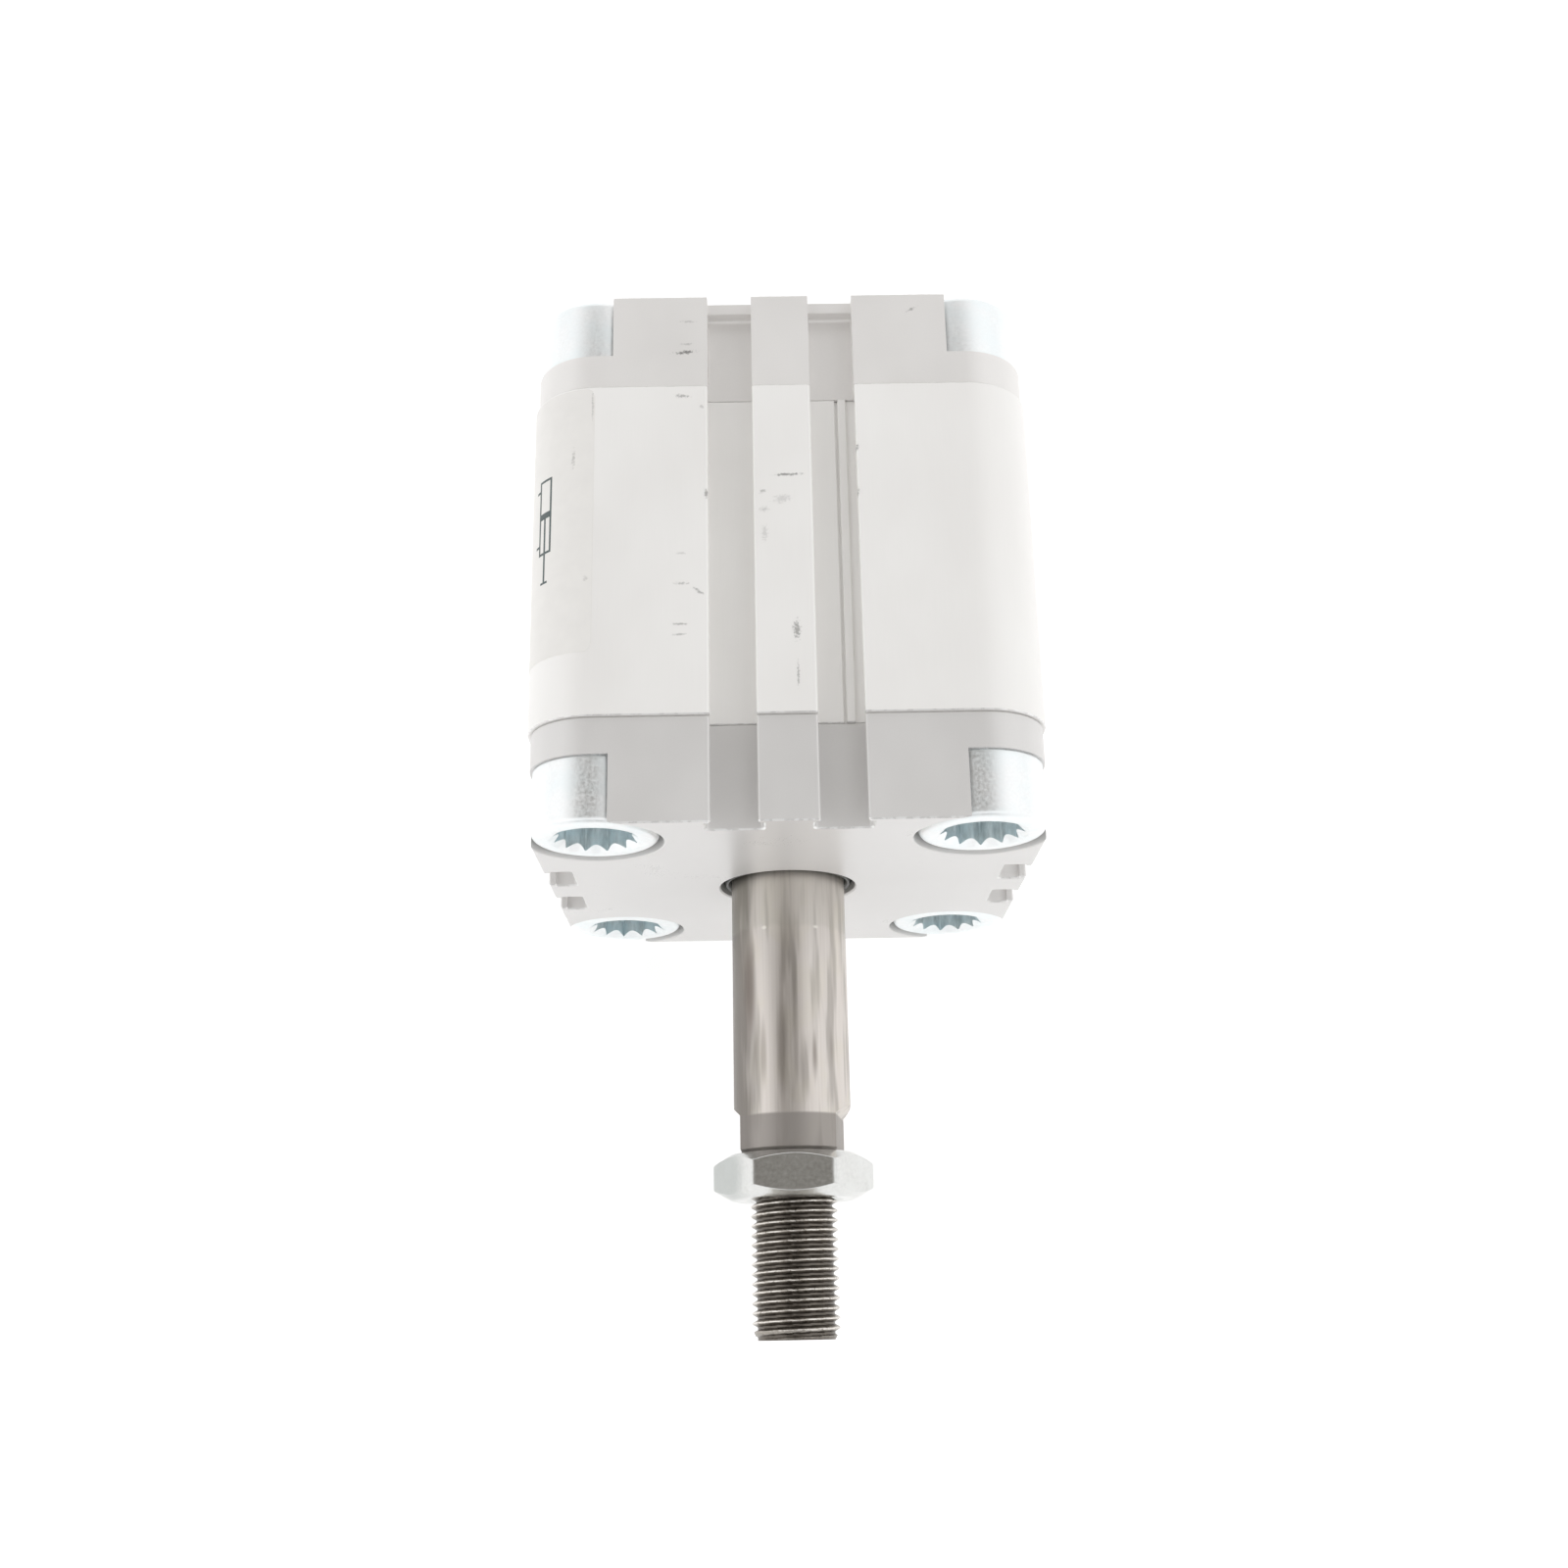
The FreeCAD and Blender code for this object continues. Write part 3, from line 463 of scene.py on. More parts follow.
def rod_steel():
    """Hard-chromed rod: fine polishing lines along it, brown oily streaks that are partly painted dark reflections,
    painted highlights, a painted reflection of the cap near the seal, a painted dark reflection down the left side.
    """
    m = bpy.data.materials.new("rod_polished")
    t, p = nt(m)
    p.inputs["Metallic"].default_value = 1.0
    fine = noise(t, coords(t, (4, 0.05, 4)), 1.0, 4.0, 0.55)
    drip = noise(t, coords(t, (0.62, 0.06, 0.62)), 1.0, 2.0, 0.5)
    film = noise(t, coords(t, (0.25, 0.16, 0.25)), 1.0, 3.0)
    c = mix_color(t, remap(t, fine, 0.3, 0.7, 0.0, 1.0), (0.63, 0.585, 0.55), (0.70, 0.66, 0.625))
    c = mix_color(t, remap(t, drip, 0.52, 0.68, 0.0, 0.3, True), c, (0.42, 0.385, 0.35))
    c = mix_color(t, remap(t, film, 0.45, 0.62, 0.0, 0.3, True), c, (0.66, 0.62, 0.53))
    tc = node(t, "ShaderNodeTexCoord")
    sx = node(t, "ShaderNodeSeparateXYZ")
    t.links.new(tc.outputs["Object"], sx.inputs[0])
    # painted dark reflection down the left flank; tapered streaks, partly painted reflections and highlights; a painted
    # reflection of the cap's face next to the seal
    side = math_node(t, "ADD", remap(t, sx.outputs[0], -0.0066, -0.0038, 1.0, 0.0, True), remap(t, drip, 0.35, 0.65, -0.3, 0.3))
    side = remap(t, side, 0.0, 0.9, 0.0, 0.85)
    c = mix_color(t, side, c, (0.16, 0.145, 0.13))
    for x, y, w, h, k in ROD_STREAKS_AND_REFLECTIONS:
        mp = node(t, "ShaderNodeMapping", vector_type="TEXTURE")
        mp.inputs["Location"].default_value = (x * MM, y * MM, 0.008)
        mp.inputs["Scale"].default_value = (w * MM, h * MM, 8 * MM)
        t.links.new(tc.outputs["Object"], mp.inputs["Vector"])
        ln = node(t, "ShaderNodeVectorMath", operation="LENGTH")
        t.links.new(mp.outputs[0], ln.inputs[0])
        d = math_node(t, "ADD", ln.outputs["Value"], remap(t, drip, 0.3, 0.7, -0.25, 0.25))
        # dark streaks: oily streaks and painted dark reflections; minus strength: painted highlight
        c = mix_color(t, remap(t, d, 1.1, 0.2, 0.0, abs(k), True), c, (0.95, 0.92, 0.86) if k < 0 else (0.20, 0.17, 0.15))
    # painted reflection: a grey band next to the seal stands for the cap's front face reflected in the rod
    cap_reflection_band = remap(t, math_node(t, "ADD", sx.outputs[1], remap(t, drip, 0.3, 0.7, -0.0003, 0.0003)), -0.0076, -0.0070, 0.0, 0.2)
    c = mix_color(t, cap_reflection_band, c, (0.43, 0.42, 0.36))
    neck = remap(t, sx.outputs[1], Y_N1 * MM + 0.0050, Y_N1 * MM + 0.0047, 0.0, 1.0)
    c = mix_color(t, math_node(t, "MULTIPLY", neck, 0.74), c, (0.27, 0.25, 0.235))
    t.links.new(c, p.inputs["Base Color"])
    r = math_node(t, "ADD", remap(t, fine, 0.3, 0.7, 0.37, 0.44), math_node(t, "MULTIPLY", neck, 0.12))
    t.links.new(r, p.inputs["Roughness"])
    bump(t, p, fine, 0.25, 0.002)
    return m


def thread_steel():
    """Blackened thread, worn on the crests: painted shade in the roots, painted highlights on the crests."""
    m = bpy.data.materials.new("rod_thread_steel")
    t, p = nt(m)
    p.inputs["Metallic"].default_value = 1.0
    g = noise(t, coords(t, (2.2, 2.2, 2.2)), 1.0, 4.0, 0.65)
    tc = node(t, "ShaderNodeTexCoord")
    mp = node(t, "ShaderNodeMapping")
    mp.inputs["Scale"].default_value = (1000, 0, 1000)
    t.links.new(tc.outputs["Object"], mp.inputs["Vector"])
    ln = node(t, "ShaderNodeVectorMath", operation="LENGTH")
    t.links.new(mp.outputs[0], ln.inputs[0])
    r = math_node(t, "ADD", ln.outputs["Value"], remap(t, g, 0.3, 0.7, -0.16, 0.16))
    # painted shade in the thread roots, then a painted highlight with wear on the crests
    c = mix_color(t, remap(t, r, 5.15, 5.6, 0.0, 1.0), (0.14, 0.125, 0.11), (0.36, 0.335, 0.30))
    c = mix_color(t, remap(t, r, 5.68, 5.84, 0.0, 1.0, True), c, (0.80, 0.765, 0.72))
    c = mix_color(t, remap(t, g, 0.55, 0.7, 0.0, 0.5, True), c, (0.16, 0.13, 0.10))
    t.links.new(c, p.inputs["Base Color"])
    t.links.new(remap(t, g, 0.3, 0.7, 0.24, 0.42), p.inputs["Roughness"])
    bump(t, p, g, 0.35, 0.02)
    return m


def soft_plastic(name, col, rough, grain_mm=0.25, bump_mm=0.01, var=0.25, marks=None):
    m = bpy.data.materials.new(name)
    t, p = nt(m)
    g = noise(t, coords(t, (1 / grain_mm,) * 3), 1.0, 3.0)
    cloud = noise(t, coords(t, (0.4, 0.4, 0.4)), 1.0, 3.0)
    c = mix_color(t, remap(t, cloud, 0.3, 0.7, 0.0, 1.0), tuple(x * (1 - var) for x in col), col)
    if marks:
        c = mix_color(t, mark_mask(t, marks), c, (0.2, 0.19, 0.18))
    t.links.new(c, p.inputs["Base Color"])
    t.links.new(remap(t, g, 0.3, 0.7, rough - 0.06, rough + 0.06), p.inputs["Roughness"])
    bump(t, p, g, 0.4, bump_mm)
    return m


# (x, y, half length, half width, angle, strength) of small scuffs on the top
BARREL_MARKS = [
    (-13.3, 59.75, 1.1, 0.3, -4, 0.55), (-10.7, 58.1, 0.35, 0.3, 0, 0.3),
    (-10.15, 45.2, 0.32, 0.7, 0, 0.6), (9.92, 51.7, 0.35, 0.6, 0, 0.55), (9.85, 45.0, 0.32, 0.6, 0, 0.55),
    (0.6, 47.75, 2.1, 0.22, 1, 0.75), (-2.7, 45.3, 0.6, 0.3, 20, 0.4), (-2.5, 42.7, 0.7, 0.4, 0, 0.28),
    (-2.5, 39.2, 0.45, 1.3, 0, 0.22), (-0.15, 44.2, 1.3, 0.7, 8, 0.22),
    (1.44, 25.5, 0.55, 1.5, 0, 0.6), (1.5, 19.3, 0.2, 1.9, 0, 0.45),
    (-11.2, 31.1, 0.95, 0.25, -38, 0.5), (-13.45, 32.2, 1.0, 0.22, 0, 0.38),
    (-13.7, 26.5, 1.1, 0.2, 0, 0.48), (-13.75, 25.05, 0.9, 0.2, 0, 0.4), (-13.4, 36.5, 0.7, 0.2, 0, 0.22),
]
CAP_MARKS = [(-12.9, 66.7, 1.5, 0.32, 4, 0.8), (-12.7, 68.0, 0.9, 0.2, 0, 0.3), (-12.5, 71.5, 1.1, 0.2, 0, 0.25),
             (18.1, 73.0, 0.9, 0.2, 25, 0.5), (-18.3, 0.0, 0.35, 7.5, -7, 0.3, 2.0), (-17.9, 0.0, 0.3, 2.5, -12, 0.25, -4.0)]
LABEL_MARKS = [(-27.8, 50.8, 0.28, 1.5, 0, 0.4), (-25.9, 33.1, 0.4, 0.4, 0, 0.25), (-25.3, 58.5, 0.16, 3.0, 0, 0.3)]
M_BARREL = anodised("anodised_barrel", (0.92, 0.908, 0.89), (0.95, 0.942, 0.925), 0.48, (14, 0.12, 14), 0.16, BARREL_MARKS)
# the caps' end faces carry painted shade through face (0.93 front, 0.92 rear)
M_CAP = anodised("anodised_cap", (0.735, 0.725, 0.715), (0.775, 0.765, 0.755), 0.46, (5, 5, 5), 0.38, CAP_MARKS, False, 0.93, 0.14)
# painted light: the rear cap is a lighter copy of the cap finish, standing for the brighter light at the rear
M_CAP_REAR = anodised("anodised_cap_rear", (0.83, 0.815, 0.80), (0.87, 0.855, 0.84), 0.46, (5, 5, 5), 0.38, CAP_MARKS, False, 0.92, 0.1)
M_EDGE = anodised("anodised_worn_edge", (0.70, 0.69, 0.68), (0.74, 0.73, 0.72), 0.4, (8, 8, 8), 0.7, None, True)
M_ZINC = metal("zinc_bright", (0.95, 0.965, 0.97), 0.42, (2.5, 2.5, 2.5), 0.06, 0.0, (0.86, 0.92, 0.935))
M_RECESS = metal("zinc_recess", (0.93, 0.99, 1.0), 0.4, (2, 0.6, 2), 0.2, 0.0, (0.80, 0.95, 1.0))
M_ROD = rod_steel()
M_THREAD = thread_steel()
# the nut's left flank gets a painted shade spot
M_NUT = metal("nut_zinc", (0.72, 0.725, 0.71), 0.2, (2, 2, 2), 0.1, 0.0, (0.74, 0.75, 0.74), 0.004, None,
              (-10.0, (Y_N0 + Y_N1) / 2, 3.5, 6.5, 0.55))
M_SEAL = soft_plastic("seal_rubber", (0.09, 0.095, 0.09), 0.42)
M_RUBBER = soft_plastic("black_rubber", (0.03, 0.03, 0.033), 0.55)
M_PU = soft_plastic("grey_polyurethane", (0.22, 0.22, 0.23), 0.4)
M_BRONZE = metal("sintered_bronze", (0.62, 0.45, 0.26), 0.42, (6, 6, 6), 0.25, 0.0, (0.45, 0.32, 0.2), 0.01)
M_PISTON = metal("turned_aluminium", (0.80, 0.80, 0.81), 0.28, (0.5, 14, 0.5), 0.12, 0.0)
M_MAGNET = soft_plastic("ferrite", (0.09, 0.085, 0.085), 0.6, 0.15, 0.02)
M_POM = soft_plastic("guide_pom", (0.86, 0.85, 0.80), 0.35, 0.3, 0.006, 0.06)
M_LABEL = soft_plastic("label_film", (0.875, 0.86, 0.835), 0.5, 0.2, 0.004, 0.03, LABEL_MARKS)
M_INK = soft_plastic("printed_ink", (0.10, 0.13, 0.13), 0.45, 0.12, 0.002, 0.3)


# ---------------------------------------------------------------------- barrel
def build_barrel():
    b = Builder()
    c = 0.12
    out, end = square_outline(BH, CR_B, True, True), square_outline(BH, CR_B, True, True, c)
    rings = [b.loop(end, Y_B0), b.loop(out, Y_B0 + c)]
    rings += [b.loop(out, y) for y in np.linspace(Y_B0, Y_B1, 12)[1:-1]]
    rings += [b.loop(out, Y_B1 - c), b.loop(end, Y_B1)]
    for k, (a, d) in enumerate(zip(rings, rings[1:])):
        b.bridge(a, d, 1 if k in (0, len(rings) - 2) else 0)
    holes0, holes1 = [], []
    for cx, cz, r, n in [(0, 0, 25.0, 160)] + [(sx * BOLT, sz * BOLT, 6.05, 64) for sx in (1, -1) for sz in (1, -1)]:
        h0, h1 = b.loop(circle(r, n, cx, cz), Y_B0), b.loop(circle(r, n, cx, cz), Y_B1)
        b.bridge(h0, h1)
        holes0.append(h0)
        holes1.append(h1)
    b.fill([rings[0]] + holes0)
    b.fill([rings[-1]] + holes1)
    return b.mesh("barrel_blank", 28)


def nick(x, y, z, sx, sy, sz, seed):
    """Small uneven dent cutter."""
    rng = np.random.RandomState(seed)
    bm = bmesh.new()
    bmesh.ops.create_icosphere(bm, subdivisions=2, radius=1.0)
    for v in bm.verts:
        k = 1 + 0.25 * (rng.rand() - 0.5)
        v.co = Vector(((x + v.co.x * sx * k) * MM, (y + v.co.y * sy * k) * MM, (z + v.co.z * sz * k) * MM))
    me = bpy.data.meshes.new("nick")
    bm.to_mesh(me)
    bm.free()
    return me


EDGE = SLOT_C + SLOT_H
DENTS = [nick(-EDGE - 0.02, 48.6, BH, 0.3, 0.5, 0.24, 8), nick(-EDGE - 0.05, 45.2, BH, 0.4, 0.75, 0.3, 2),
         nick(EDGE, 51.7, BH, 0.38, 0.55, 0.3, 3), nick(EDGE, 49.3, BH, 0.26, 0.4, 0.22, 4),
         nick(EDGE, 45.1, BH, 0.34, 0.6, 0.28, 5), nick(SLOT_C - SLOT_H, 51.5, BH, 0.25, 0.45, 0.2, 6)]


# ------------------------------------------------------------------------ caps
def extrude_x(poly_yz, x0, x1, name):
    """Prism along X from a polygon in (y, z)."""
    me = bpy.data.meshes.new(name)
    n = len(poly_yz)
    v = [(x0 * MM, y * MM, z * MM) for y, z in poly_yz] + [(x1 * MM, y * MM, z * MM) for y, z in poly_yz]
    f = [tuple(range(n)), tuple(reversed(range(n, 2 * n)))]
    f += [(i, i + n, (i + 1) % n + n, (i + 1) % n) for i in range(n)]
    me.from_pydata(v, [], f)
    bm = bmesh.new()
    bm.from_mesh(me)
    bmesh.ops.recalc_face_normals(bm, faces=bm.faces)
    bm.to_mesh(me)
    bm.free()
    return me


def cap_block(slotted, y0, y1, c0, c1, spigot_y):
    """Block from y0 to y1 with chamfers c0 and c1, and a round spigot."""
    b = Builder()
    outline, first, last, gap = [square_outline(CH, CR_C, slotted, False, e) for e in (0.0, c0, c1, 0.33)]
    w = 0.17
    if spigot_y > y1:
        rings = [b.loop(first, y0), b.loop(outline, y0 + c0), b.loop(outline, y1 - c1 - w), b.loop(last, y1 - w),
                 b.loop(gap, y1 - w), b.loop(gap, y1)]
    else:
        rings = [b.loop(gap, y0), b.loop(gap, y0 + w), b.loop(first, y0 + w), b.loop(outline, y0 + c0 + w),
                 b.loop(outline, y1 - c1), b.loop(last, y1)]
    edge = 0 if spigot_y > y1 else len(rings) - 2
    for k, (a, d) in enumerate(zip(rings, rings[1:])):
        b.bridge(a, d, 1 if k == edge else 0)
    front = spigot_y > y1
    ya = y1 if front else y0
    sg = 1 if front else -1
    r = 24.9
    prof = [(ya, r), (ya + sg * 0.7, r), (ya + sg * 0.7, 23.8), (ya + sg * 2.4, 23.8), (ya + sg * 2.4, r),
            (spigot_y - sg * 0.3, r), (spigot_y, r - 0.3)]
    loops = [b.loop(circle(rr, 160), yy) for yy, rr in prof]
    for a, d in zip(loops, loops[1:]):
        b.bridge(a, d)
    b.fan(loops[-1])
    if front:
        b.fill([rings[-1], loops[0]])
        b.fill([rings[0]])
    else:
        b.fill([rings[0], loops[0]])
        b.fill([rings[-1]])
    return b


def screw_cutter(face, d, sx, sz):
    """Counterbore with a broken edge and the screw's clearance hole."""
    p = [(-1.0, 0), (-1.0, 10.02), (0.12, 8.9), (9.2, 8.9), (9.2, 6.3), (14.6, 6.3), (14.6, 0)]
    return lathe([(face + d * y, r) for y, r in p], 112, sx * BOLT, sz * BOLT).mesh("cutter", 28)


def port_cutter(y, name):
    """Tapped air port in the underside: spot face, thread grooves, duct."""
    prof = [(-CH - 1, 0), (-CH - 1, 7.4), (-CH + 0.35, 7.4), (-CH + 0.35, 5.1)]
    z, pitch = -CH + 0.75, 0.907
    while z < -CH + 7.6:
        prof += [(z, 4.86), (z + pitch * 0.45, 4.3), (z + pitch * 0.55, 4.3)]
        z += pitch
    prof += [(-CH + 8.4, 4.28), (-CH + 9.9, 1.3), (-20.0, 1.3), (-20.0, 0)]
    b = lathe([(zz, r) for zz, r in prof], 72)
    # lathe runs along Y; stand it up along Z at the port's place
    b.v = [(x, y + zz, yy) for x, yy, zz in b.v]
    return b.mesh(name, 28)


def join_meshes(meshes, name):
    bm = bmesh.new()
    for me in meshes:
        bm.from_mesh(me)
    out = bpy.data.meshes.new(name)
    bm.to_mesh(out)
    bm.free()
    return out


CORNERS = [(1, 1), (-1, 1), (-1, -1), (1, -1)]


def build_front_cap():
    block = cap_block(True, Y_FRONT, Y_B0, 0.22, 0.06, Y_S0).mesh("front_block", 28)
    screws = join_meshes([screw_cutter(Y_FRONT, 1, sx, sz) for sx, sz in CORNERS], "c1")
    bore = lathe([(Y_FRONT - 1, 0), (Y_FRONT - 1, 10.8), (Y_FRONT + 0.2, 9.6), (5.0, 9.6), (5.0, 9.0), (13.0, 9.0),
                  (13.0, 8.35), (Y_S0 + 1, 8.35), (Y_S0 + 1, 0)], 128).mesh("c2", 28)
    groove = ring_lathe([(Y_S0 - 1.8, 12.0), (Y_S0 - 1.8, 19.0), (Y_S0 + 0.5, 19.0), (Y_S0 + 0.5, 12.0)], 128, "c3")
    port = port_cutter(Y_FRONT + 7.1, "c4")
    return cut(block, [screws, bore, groove, port], "bearing_cap_body")


def build_end_cap():
    block = cap_block(False, Y_B1, Y_REAR, 0.06, 0.22, Y_S1).mesh("rear_block", 28)
    screws = join_meshes([screw_cutter(Y_REAR, -1, sx, sz) for sx, sz in CORNERS], "c1")
    bore = lathe([(Y_REAR + 1, 0), (Y_REAR + 1, 4.25), (Y_REAR - 0.25, 3.0), (Y_REAR - 2.5, 3.0), (Y_REAR - 3.6, 0)], 64).mesh("c2", 28)
    groove = ring_lathe([(Y_S1 + 1.8, 12.0), (Y_S1 + 1.8, 19.0), (Y_S1 - 0.5, 19.0), (Y_S1 - 0.5, 12.0)], 128, "c3")
    port = port_cutter(Y_REAR - 7.1, "c4")
    stop, low = Y_REAR - 1.55, 31.4
    poly = fillet_path([(Y_B1 - 1, FLOOR, 0, 0), (stop, FLOOR, 0.5, 4), (stop, low, 0.12, 2), (Y_REAR + 1, low, 0, 0),
                        (Y_REAR + 1, 36, 0, 0), (Y_B1 - 1, 36, 0, 0)])
    slots = []
    for q in (0, 1, 3):
        for c in (SLOT_C, -SLOT_C):
            me = extrude_x(poly, c - SLOT_H, c + SLOT_H, "s")
            me.transform(Matrix.Rotation(-q * math.pi / 2, 4, "Y"))
            slots.append(me)
    return cut(block, [screws, bore, groove, port, join_meshes(slots, "c5")], "end_cap_body")


barrel = new_object("barrel_body", cut(build_barrel(), [join_meshes(DENTS, "dents")], "barrel_body"),
                    "barrel", ["barrel_profile"], [M_BARREL, M_EDGE])
front_cap = new_object("bearing_cap_body", build_front_cap(), "barrel", ["bearing_cap"], [M_CAP, M_EDGE])
end_cap = new_object("end_cap_body", build_end_cap(), "barrel", ["end_cap"], [M_CAP_REAR, M_EDGE])


# --------------------------------------------------------------- flange screws
def thread_phase(ph):
    """Basic 60 degree profile: 0 at the crest, 1 at the root, ph in turns."""
    ph = ph % 1.0
    x = np.abs(ph - 0.5) * 2          # 1 at the crest's middle, 0 at the root's
    return np.clip((0.875 - x) / 0.625, 0, 1)


def add_screw(b, face, d, sx, sz):
    n = 144
    cx, cz = sx * BOLT, sz * BOLT
    t = np.arange(n) / n * 2 * math.pi

    def loop(r, y):
        return b.loop(np.stack([cx + r * np.cos(t), cz + r * np.sin(t)], 1), face + d * np.asarray(y))

    turn0 = math.radians({(1, 1): 4, (-1, 1): 11, (-1, -1): 20, (1, -1): 26}[(sx, sz)])

    def star(out, inn):
        s = np.abs(np.sin(6 * (t - turn0)))
        return out - (out - inn) * s ** 0.85

    one = np.ones(n)
    y0 = 0.2
    outer = []
    for k in range(9):                       # rolled rim
        a = math.pi / 2 * k / 8
        outer.append(loop(one * (7.15 + 1.1 * math.sin(a)), y0 + 0.9 * (1 - math.cos(a))))
    outer.append(loop(one * 8.25, 9.0))
    outer.append(loop(one * 8.05, 9.2))
    outer.append(loop(one * 6.0, 9.2))
    outer.append(loop(one * 6.0, 21.8))
    outer.append(loop(one * 5.3, 22.5))
    for a, c in zip(outer, outer[1:]):
        b.bridge(a, c, 0)
    b.fan(outer[-1], 0)
    rim = loop(one * 6.05, y0)
    b.bridge(rim, outer[0], 0)
    lip = star(5.68, 4.7)
    edge = loop(lip, y0 + 0.1 + (5.68 - lip) * 0.8)
    b.bridge(rim, edge, 0)
    deep = loop(star(5.6, 4.66), 5.45)
    b.bridge(edge, deep, 1)
    base = loop(star(5.3, 4.5), 5.65)
    b.bridge(deep, base, 1)
    mouth = loop(one * 4.15, 5.75)
    b.bridge(base, mouth, 1)
    last = mouth
    pitch, y = 1.25, 6.1
    while y < 17.0:
        ph = y / pitch + d * t / (2 * math.pi)
        fade = min(1.0, max(0.0, (17.0 - y) / 1.0))
        r = 4.0 - 0.62 * (1 - (1 - thread_phase(ph)) * fade)
        lp = loop(r, y)
        b.bridge(last, lp, 1)
        last = lp
        y += pitch / 7
    end = loop(one * 3.38, 17.6)
    b.bridge(last, end, 1)
    tip = loop(one * 0.4, 19.0)
    b.bridge(end, tip, 1)
    b.fan(tip, 1)


def build_screws(face, d, name):
    b = Builder()
    for sx, sz in CORNERS:
        add_screw(b, face, d, sx, sz)
    return b.mesh(name, 32)


new_object("front_screws", build_screws(Y_FRONT, 1, "front_screws"), "barrel", ["front_flange_screws"], [M_ZINC, M_RECESS])
new_object("rear_screws", build_screws(Y_REAR, -1, "rear_screws"), "barrel", ["rear_flange_screws"], [M_ZINC, M_RECESS])


# ------------------------------------------------------------------------- rod
def build_rod():
    b = Builder()
    flat, slope = 6.5, 0.9
    y_sh = Y_N1                                   # shoulder
    y_top = y_sh + 5.0                            # flats end, run-out starts
    ea = math.acos(flat / 8.0)
    n = 240
    ang = np.arange(n) / n * 2 * math.pi
    for a in (ea, math.pi - ea, math.pi + ea, 2 * math.pi - ea):
        ang[np.argmin(np.abs(ang - a))] = a
    spin = math.radians(8.5)

    def ring(r, y, width=None, mat=0):
        r = np.broadcast_to(np.asarray(r, float), (n,))
        x, z = r * np.cos(ang), r * np.sin(ang)
        if width is not None:
            x = np.clip(x, -width, width)
        c, s = math.cos(spin), math.sin(spin)
        return b.loop(np.stack([x * c - z * s, x * s + z * c], 1), y)

    seq = []

    def add(r, y, width=None, mat=0):
        lp = ring(r, y, width)
        if seq:
            b.bridge(seq[-1], lp, mat)
        seq.append(lp)

    # end face with a centre drilling
    i = len(b.v)
    b.v.append((0, Y_TIP + 2.4, 0))
    first = ring(0.9, Y_TIP + 1.5)
    for k in range(n):
        b.f.append((i, first[k], first[(k + 1) % n]))
        b.m.append(1)
    seq.append(first)
    add(1.75, Y_TIP, mat=1)
    pitch, depth, major = 1.25, 0.74, 5.86
    add(5.08, Y_TIP, mat=1)
    y = Y_TIP + 0.04
    end = Y_N0 + 4.6
    while y < end:
        ph = y / pitch + ang / (2 * math.pi)
        fade = min(1.0, (end - y) / 1.0)
        r = major - depth * thread_phase(ph) * fade
        r = np.minimum(r, 5.12 + (y - Y_TIP) * 0.5)
        add(r, y, mat=1)
        y += pitch / 14
    add(5.9, end, mat=1)
    add(5.9, y_sh - 0.02, mat=1)
    add(5.9, y_sh, mat=1)
    add(7.5, y_sh, flat - 0.1)
    add(8.0, y_sh + 0.45, flat)
    add(8.0, y_top - 0.01, flat)
    add(8.0, y_top + 0.02, flat + 0.015)
    steps = 10
    for k in range(1, steps + 1):
        w = flat + (8.0 - flat) * k / steps
        add(8.0, y_top + (w - flat) * slope, w + 1e-4)
    p0 = Y_RODEND - 5.6
    add(8.0, y_top + 3.0)
    for yy in np.linspace(y_top + 6, p0 - 0.4, 12):
        add(8.0, yy)
    add(8.0, p0 - 0.02)
    add(8.0, p0)
    add(6.0, p0)
    add(6.0, Y_RODEND - 0.3)
    add(5.7, Y_RODEND)
    add(4.0, Y_RODEND)
    add(4.0, Y_RODEND - 16)
    lp = seq[-1]
    i = len(b.v)
    b.v.append((0, Y_RODEND - 18, 0))
    for k in range(n):
        b.f.append((i, lp[(k + 1) % n], lp[k]))
        b.m.append(0)
    return b.mesh("rod_body", 24, square=False)


new_object("rod_body", build_rod(), "piston_rod", ["piston_rod"], [M_ROD, M_THREAD])


# ------------------------------------------------------------------------- nut
def build_nut():
    b = Builder()
    n = 216
    a = np.arange(n) / n * 2 * math.pi
    af = 9.5
    m = np.mod(a, math.pi / 3) - math.pi / 6
    R = af / np.cos(m)
    R = np.minimum(R, 10.97 - 0.12)
    face, k = 8.45, 0.577

    def loop(r, y):
        r = np.broadcast_to(np.asarray(r, float), (n,))
        return b.loop(np.stack([r * np.cos(a), r * np.sin(a)], 1), y)

    d = (R - face) * k
    rings = [loop(6.03, Y_N0 + 0.75), loop(6.78, Y_N0), loop(face - 0.1, Y_N0), loop(face + 0.06, Y_N0 + 0.05)]
    rings += [loop(face + (R - face) * f, Y_N0 + d * f) for f in (0.35, 0.7)]
    rings += [loop(R - 0.04, Y_N0 + d - 0.03), loop(R, Y_N0 + d + 0.05)]
    rings += [loop(R, Y_N0 + 3.0)]
    rings += [loop(R, Y_N1 - d - 0.05), loop(R - 0.04, Y_N1 - d + 0.03)]
    rings += [loop(face + (R - face) * f, Y_N1 - d * f) for f in (0.7, 0.35)]
    rings += [loop(face + 0.06, Y_N1 - 0.05), loop(face - 0.1, Y_N1), loop(6.78, Y_N1), loop(6.03, Y_N1 - 0.75)]
    for p, q in zip(rings, rings[1:]):
        b.bridge(p, q)
    b.bridge(rings[-1], rings[0])
    return b.mesh("nut_body", 20)


new_object("nut_body", build_nut(), "lock_nut", ["lock_nut"], [M_NUT])

